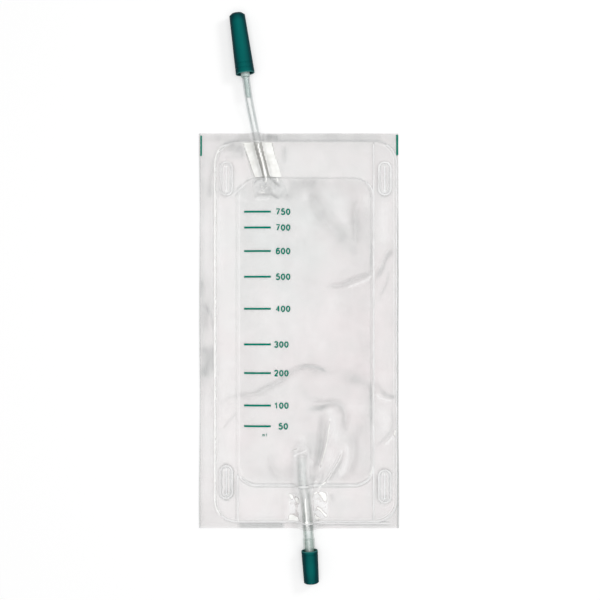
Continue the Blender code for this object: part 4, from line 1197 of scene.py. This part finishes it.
# %% Film of the flaps, white where it is welded
for flap, white in ((back_flap, 0.85), (front_flap, 0.03)):
    finish = Finish(f"{flap.name}_film", Roughness=0.30, IOR=1.6)
    welded = finish.painted("welded")
    finish.set("Base Color", finish.mix(welded, colour(196, 204, 202), colour(255, 254, 248)))
    cloudy = (finish.cloud(300) - 0.5) * 0.08
    finish.set("Alpha", (0.03 + welded * white + cloudy * (1.0 - welded * 0.7)).between(0, 1))
    finish.bump(finish.cloud(700, 3.0), 0.00010, 0.5)
    flap.data.materials.append(finish.material)
for flap, node in ((back_flap, "valve_back_flap"), (front_flap, "valve_front_flap")):
    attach(flap, "bag")
    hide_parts(node)

# %% [markdown]
# ## Hoses
# Each hose is a clear tube whose wall looks darkest at its sides, where the eye looks through most of it, and
# brightest down its middle. A curve with a round bevel gives the outside, and Solidify the wall inside it. The inlet
# hose is the free one.

# %% Tubes
def tube(name, line, radius, wall, **widening):
    """A hollow hose along a line, open at both ends."""
    piece = curve_piece(name, [line], {"bevel_depth": radius, "bevel_resolution": 10}, **widening)
    solidify(piece, wall, -1.0)
    smooth(piece, 50)
    return piece


def flare(place):
    """The outlet hose is wider where it is stretched over its spigot."""
    outwards = (place - (outlet_line[-1] - outlet_axis * outlet_grip)).dot(outlet_axis)
    return 1 + outlet_flare / outlet_hose_radius * float(ease(outwards / outlet_flare_run))


inlet_hose = tube("clear_inlet_hose", inlet_line, inlet_hose_radius, inlet_hose_wall)
outlet_hose = tube("clear_outlet_hose", outlet_line, outlet_hose_radius, outlet_hose_wall, widen=flare)


print("hoses", len(inlet_hose.data.polygons) + len(outlet_hose.data.polygons), "faces")


# %% Clear walls of the hoses
def hose_finish(name, core, wall_colour, clearness, wall_gain):
    """A clear wall that darkens to its own colour at its sides, as far as the hose's depth says."""
    finish = Finish(name, Roughness=0.10, IOR=1.8)
    finish.set("Specular IOR Level", 0.6)
    wall_share = (finish.facing() * 5.0 - 0.15).between(0, 1)
    depth = finish.painted("depth")
    finish.set("Base Color", finish.mix(wall_share * (depth * 1.4 + 0.15).between(0, 1), core, wall_colour))
    streak = finish.cloud(160, 3.0, 0.5, (1, 0.15, 1))
    alpha = clearness + wall_share * depth * wall_gain + (streak - 0.5) * 0.06
    finish.set("Alpha", alpha.between(0, 1))
    finish.bump(streak, 0.00005, 0.3)
    return finish.material


# How dark the walls look along each hose: millimetres over the bag's lower edge, and a share for each
inlet_depths = ((270, 300, 314, 330), (0.0, 0.06, 0.4, 1.0))
outlet_depths = ((-50, -12, -4, 6, 12, 25, 36, 58), (0.6, 0.6, 1.0, 1.0, 0.75, 0.36, 0.06, 0.0))
inlet_looks = ("clear_hose", colour(244, 250, 248), colour(108, 136, 136), 0.07, 0.13)
outlet_looks = ("clear_wide_hose", colour(228, 250, 246), colour(80, 128, 110), 0.06, 0.17)
for hose, node, depths, looks in (
    (inlet_hose, "inlet_hose", inlet_depths, inlet_looks), (outlet_hose, "outlet_hose", outlet_depths, outlet_looks),
):
    store(hose, "depth", np.interp((points_of(hose)[:, 1] - bag_bottom) / mm, *depths))
    hose.data.materials.append(hose_finish(*looks))
    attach(hose, "bag")
    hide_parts(node)

# %% [markdown]
# ## Caps
# Both caps are moulded of dark blue-green plastic: thin cups, one long and one short, with a
# chamfered closed end and one or two fine rings near the mouth. A circle is extruded ring by ring
# and resized to each radius, the end is filled, and Solidify gives the wall. Close rings round off
# the mouth and the chamfer.

# %% Rings to a turned piece
round_sides = 96


def rings_to_piece(name, rings):
    """Extrudes a circle through (radius, distance) rings along Z, and fills the last ring."""
    bpy.ops.object.select_all(action="DESELECT")
    radius, along = rings[0]
    bpy.ops.mesh.primitive_circle_add(vertices=round_sides, radius=radius, location=(0, 0, along))
    piece = bpy.context.active_object
    piece.name = name
    bpy.ops.object.mode_set(mode="EDIT")
    bpy.ops.mesh.select_all(action="SELECT")
    for next_radius, next_along in rings[1:]:
        bpy.ops.mesh.extrude_region_move(TRANSFORM_OT_translate={"value": (0, 0, next_along - along)})
        bpy.ops.transform.resize(value=(next_radius / radius, next_radius / radius, 1))
        radius, along = next_radius, next_along
    bpy.ops.mesh.edge_face_add()
    bpy.ops.mesh.select_all(action="SELECT")
    bpy.ops.mesh.normals_make_consistent(inside=False)
    bpy.ops.object.mode_set(mode="OBJECT")
    return piece


def stand_along(piece, base, axis):
    """Turns a piece made along Z to its axis and place, and leaves its object at the origin."""
    choose(piece)
    turn = axis.to_track_quat("Z", "X").to_matrix().to_4x4()
    piece.matrix_world = Matrix.Translation(base) @ turn @ piece.matrix_world
    bpy.ops.object.transform_apply(location=True, rotation=True, scale=True)


# %% The two caps
groove_half, groove_floor, groove_depth = 0.0004, 0.00012, 0.00025
rim_highlight_band, end_band = 0.0007, 0.0052


def cap(name, length, mouth_radius, end_radius, wall, chamfer, grooves, base, axis):
    """A tapered cup with rings cut round it, open at its mouth, which stands at a base and runs along an axis."""
    def ring(along, inwards=0.0):
        return mouth_radius + (end_radius - mouth_radius) * along / length - inwards, along

    end = end_radius - chamfer
    rings = [ring(0.0, wall / 4), ring(wall / 4), ring(0.0010)]
    for groove in grooves:
        rings += [
            ring(groove - groove_half), (ring(groove, groove_depth)[0], groove - groove_floor),
            (ring(groove, groove_depth)[0], groove + groove_floor), ring(groove + groove_half),
        ]
    rings += [ring(length * share) for share in (0.45, 0.65, 0.85)]
    rings += [
        ring(length - chamfer - 0.0003), ring(length - chamfer), (end, length - 0.0002), (end - 0.0003, length),
        (end - 0.0012, length), (end - 0.0014, length - 0.00025),
    ]
    piece = rings_to_piece(name, rings)
    solidify(piece, wall, -1.0)
    along = points_of(piece)[:, 2]
    # Where the closed end gets painted shade and the mouth's rim a painted highlight.
    store(piece, "closed_end", ease((along - length + end_band) / 0.0012))
    store(piece, "mouth", ease((rim_highlight_band - along) / 0.0004))
    stand_along(piece, base, axis)
    smooth(piece, 28)
    # Each point's slope, for painted shade down the cap's sides that fall away.
    store(piece, "slope", slope_of(piece))
    return piece


inlet_cap = cap("long_green_cap", 0.0487, 0.0076, 0.0062, 0.0012, 0.0018, (0.0044, 0.0081), inlet_mouth, inlet_axis)
outlet_cap = cap("short_green_cap", 0.0264, 0.0066, 0.00595, 0.0011, 0.0008, (0.0030,), outlet_mouth, outlet_axis)
print("caps", len(inlet_cap.data.polygons) + len(outlet_cap.data.polygons), "faces")

# %% [markdown]
# ## Green plastic
# The caps' plastic is satin, with faint streaks along the cap where it flowed into its mould, and a fine grain.
# Painted shade darkens the sides that fall away and the closed end, and a painted highlight makes the rim of the
# mouth paler, so each cap keeps those three values at its points.

# %% Satin plastic with streaks and grain
def green_finish(name, axis, side_shade, end_shade):
    """Satin plastic, with painted shade down its sides and at its closed end, and a painted highlight on its mouth's
    rim.
    """
    lean = math.atan2(axis.x, axis.y)
    finish = Finish(name, Roughness=0.5)
    finish.set("Specular IOR Level", 0.04)
    flow = finish.cloud(260, 3.0, 0.6, (1, 0.10, 1), lean)
    grain = finish.cloud(2600, 2.0, 0.6)
    wear = finish.cloud(420, 4.0, 0.7)
    bright = finish.mix((flow * 0.9 + wear * 0.3).between(0, 1), colour(0, 86, 84), colour(2, 106, 102))
    # Painted shade down the sides and at the closed end, and a painted highlight on the mouth's rim.
    away = (finish.painted("slope") * side_shade).between(0, 1)
    body = finish.mix((away + finish.painted("closed_end") * end_shade).between(0, 1), bright, colour(4, 56, 60))
    finish.set("Base Color", finish.mix(finish.painted("mouth") * 0.4, body, colour(96, 168, 164)))
    finish.set("Roughness", (0.40 + wear * 0.2).between(0, 1))
    finish.bump(grain * 0.3 + flow, 0.00010, 0.5)
    return finish.material


for piece, node, axis, body, *depths in (
    (inlet_cap, "inlet_cap", inlet_axis, "long_cap", 2.6, 0.8),
    (outlet_cap, "outlet_cap", outlet_axis, "short_cap", 4.0, 0.3),
):
    piece.data.materials.append(green_finish(f"green_{node}", axis, *depths))
    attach(piece, body)
    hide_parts(node)

# %% [markdown]
# ## Connectors
# A pale blue-white connector sits in each hose's outer end and seals inside its cap: a stepped
# taper at the top, for hoses of several bores, and a short nozzle at the bottom. The solids have
# their shapes, so the CAD nodes stay and get their finish: moulded plastic that lets light into it.

# %% Pale plastic for the connectors
for node, first, last, solid in (
    ("inlet_connector", colour(190, 208, 204), colour(204, 220, 216), 0.86),
    ("outlet_connector", colour(190, 206, 200), colour(214, 226, 220), 0.34),
):
    finish = Finish(f"pale_{node}", Roughness=0.28, IOR=1.5)
    tint = finish.cloud(300, 3.0, 0.6)
    body = finish.mix(tint, first, last)
    finish.set("Base Color", body)
    finish.set("Alpha", (solid + tint * 0.14 - finish.facing() * 0.1).between(0, 1))
    if node == "outlet_connector":
        x, y = finish.place()
        glint = (x - (y - outlet_mouth.y) * (outlet_axis.x / outlet_axis.y)).line(outlet_mouth.x - 0.0002, 0.0012)
        finish.set("Base Color", finish.mix(glint, body, colour(250, 255, 252)))
    finish.bump(finish.cloud(1800, 2.0), 0.00005, 0.4)
    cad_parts[node].data.materials.clear()
    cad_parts[node].data.materials.append(finish.material)

# %% The inlet hose's length
round(line_length(inlet_line), 4)

# %% [markdown]
# ## Print
# The scale is printed on the outside of the front film in dark green: bars with plain numbers, a
# small unit and a register mark at each upper corner. Each is a flat shape cut into small pieces
# and laid on the film's own heights, a few hundredths of a millimetre above it.

# %% Laying flat shapes on the film
ink_lift = 0.00005
ink_cut = 0.001


def lay_on_film(piece):
    """Cuts a flat piece on a millimetre grid and sets each point on the film."""
    mesh = bmesh.new()
    mesh.from_mesh(piece.data)
    for normal, values in zip((Vector((1, 0, 0)), Vector((0, 1, 0))), points_of(piece).T):
        for place in np.arange(min(values) + ink_cut, max(values), ink_cut):
            everything = mesh.verts[:] + mesh.edges[:] + mesh.faces[:]
            bmesh.ops.bisect_plane(mesh, geom=everything, plane_co=normal * place, plane_no=normal)
    bmesh.ops.triangulate(mesh, faces=mesh.faces[:])
    x, y = np.array([corner.co[:2] for corner in mesh.verts]).T
    for corner, height in zip(mesh.verts, front_height(x, y)):
        corner.co.z = height + film_wall + ink_lift
    for face in mesh.faces:
        if face.normal.z < 0:
            face.normal_flip()
    mesh.to_mesh(piece.data)
    mesh.free()


# %% Bars and signs of ink
def flat_bar(name, box):
    """A flat rectangle of ink, given its box in millimetres from the bag's lower left corner."""
    left, bottom, right, top = box
    bpy.ops.object.select_all(action="DESELECT")
    bpy.ops.mesh.primitive_plane_add(size=1.0)
    piece = bpy.context.active_object
    piece.name = name
    piece.scale = ((right - left) * mm, (top - bottom) * mm, 1)
    piece.location = (bag_left + (left + right) / 2 * mm, bag_bottom + (bottom + top) / 2 * mm, 0)
    bpy.ops.object.transform_apply(location=True, rotation=True, scale=True)
    return piece


# Each sign as strokes through points in a box one wide and one high, and whether its strokes are curved
signs = {
    "0": (True, ((.5, 1), (.88, .82), (1, .5), (.88, .18), (.5, 0), (.12, .18), (0, .5), (.12, .82), (.5, 1))),
    "1": (False, ((.12, .72), (.42, .84), (.62, 1), (.62, 0))),
    "2": (True, ((.03, .76), (.18, .95), (.5, 1), (.84, .92), (.95, .7), (.8, .46), (.42, .22), (.04, .02)),
          ((.04, 0), (1, 0))),
    "3": (True, ((.04, .82), (.22, .97), (.55, 1), (.9, .88), (.9, .66), (.66, .54), (.42, .52)),
          ((.42, .52), (.72, .5), (.98, .34), (.94, .12), (.6, 0), (.25, .02), (.02, .18))),
    "4": (False, ((.72, 0), (.72, 1)), ((.72, 1), (0, .3), (1, .3))),
    "5": (True, ((.12, .5), (.45, .62), (.85, .54), (1, .3), (.86, .07), (.5, 0), (.18, .03), (.0, .18)),
          ((.12, .5), (.16, 1)), ((.16, 1), (.94, 1))),
    "6": (True, ((.94, .86), (.75, .98), (.45, 1), (.14, .82), (.02, .45), (.14, .1), (.5, 0), (.88, .1), (1, .33),
                 (.86, .56), (.5, .63), (.16, .52), (.04, .36))),
    "7": (False, ((0, 1), (1, 1), (.62, .5), (.34, 0))),
    "m": (True, ((0, 0), (0, .6)), ((.02, .5), (.25, .66), (.46, .5), (.48, 0)),
          ((.5, .5), (.75, .66), (.98, .5), (1, 0))),
    "l": (False, ((.3, 0), (.3, 1))),
}
sign_step = 0.35


def flat_sign(name, words, left, middle, height, width, pitch, stroke):
    """Signs of ink as flat ribbons, with a left end, middle height and sizes in millimetres."""
    bottom = middle - height / 2 + stroke / 2
    runs = []
    for number, sign in enumerate(words):
        curved, *lines = signs[sign]
        start = left + number * pitch + stroke / 2
        for line in lines:
            points = [Vector((start + x * (width - stroke), bottom + y * (height - stroke), 0)) for x, y in line]
            if curved and len(points) > 2:
                points = smooth_curve(points, sign_step)
            runs.append([(bag_left + place.x * mm, bag_bottom + place.y * mm, 0) for place in points])
    return curve_piece(name, runs, {"extrude": stroke / 2 * mm}, tilt=math.pi / 2)


# %% The scale
scale = (
    (750, 254.1), (700, 241.4), (600, 222.5), (500, 201.9), (400, 176.2),
    (300, 147.6), (200, 124.6), (100, 98.6), (50, 82.0),
)
bar_left, bar_right, bar_height = 35.9, 57.4, 1.6
digit_sizes, unit_sizes = (5.5, 3.6, 4.1, 1.15), (2.9, 2.2, 2.8, 0.45)
prints = []
for number, up in scale:
    prints.append(flat_bar(f"scale_bar_{number}", (bar_left, up - bar_height / 2, bar_right, up + bar_height / 2)))
    left = 61.3 if number >= 400 else (59.9 if number >= 100 else 63.5)
    prints.append(flat_sign(f"scale_number_{number}", str(number), left, up, *digit_sizes))
prints.append(flat_sign("scale_unit", "ml", 50.5, 75.1, *unit_sizes))
prints.append(flat_bar("left_register_mark", (0.7, 299.0, 2.1, 315.2)))
prints.append(flat_bar("right_register_mark", (158.0, 299.5, 159.7, 316.0)))

# %% Ink
ink = Finish("green_ink", Roughness=0.45)
coverage = ink.cloud(1500, 3.0, 0.6)
ink.set("Base Color", ink.mix(coverage, colour(0, 112, 93), colour(2, 136, 114)))
ink.set("Specular IOR Level", 0.02)
ink.set("Alpha", (0.86 + coverage * 0.28).between(0, 1))
for piece in prints:
    lay_on_film(piece)
    piece.data.materials.append(ink.material)
    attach(piece, "bag")
print("print pieces", len(prints))

# %% [markdown]
# ## Finish
# The clear walls lie many deep under the camera, so light may pass through more of them than it does by default.

# %% Finish
bpy.context.scene.view_settings.view_transform = "Standard"
bpy.context.scene.cycles.transparent_max_bounces = 48
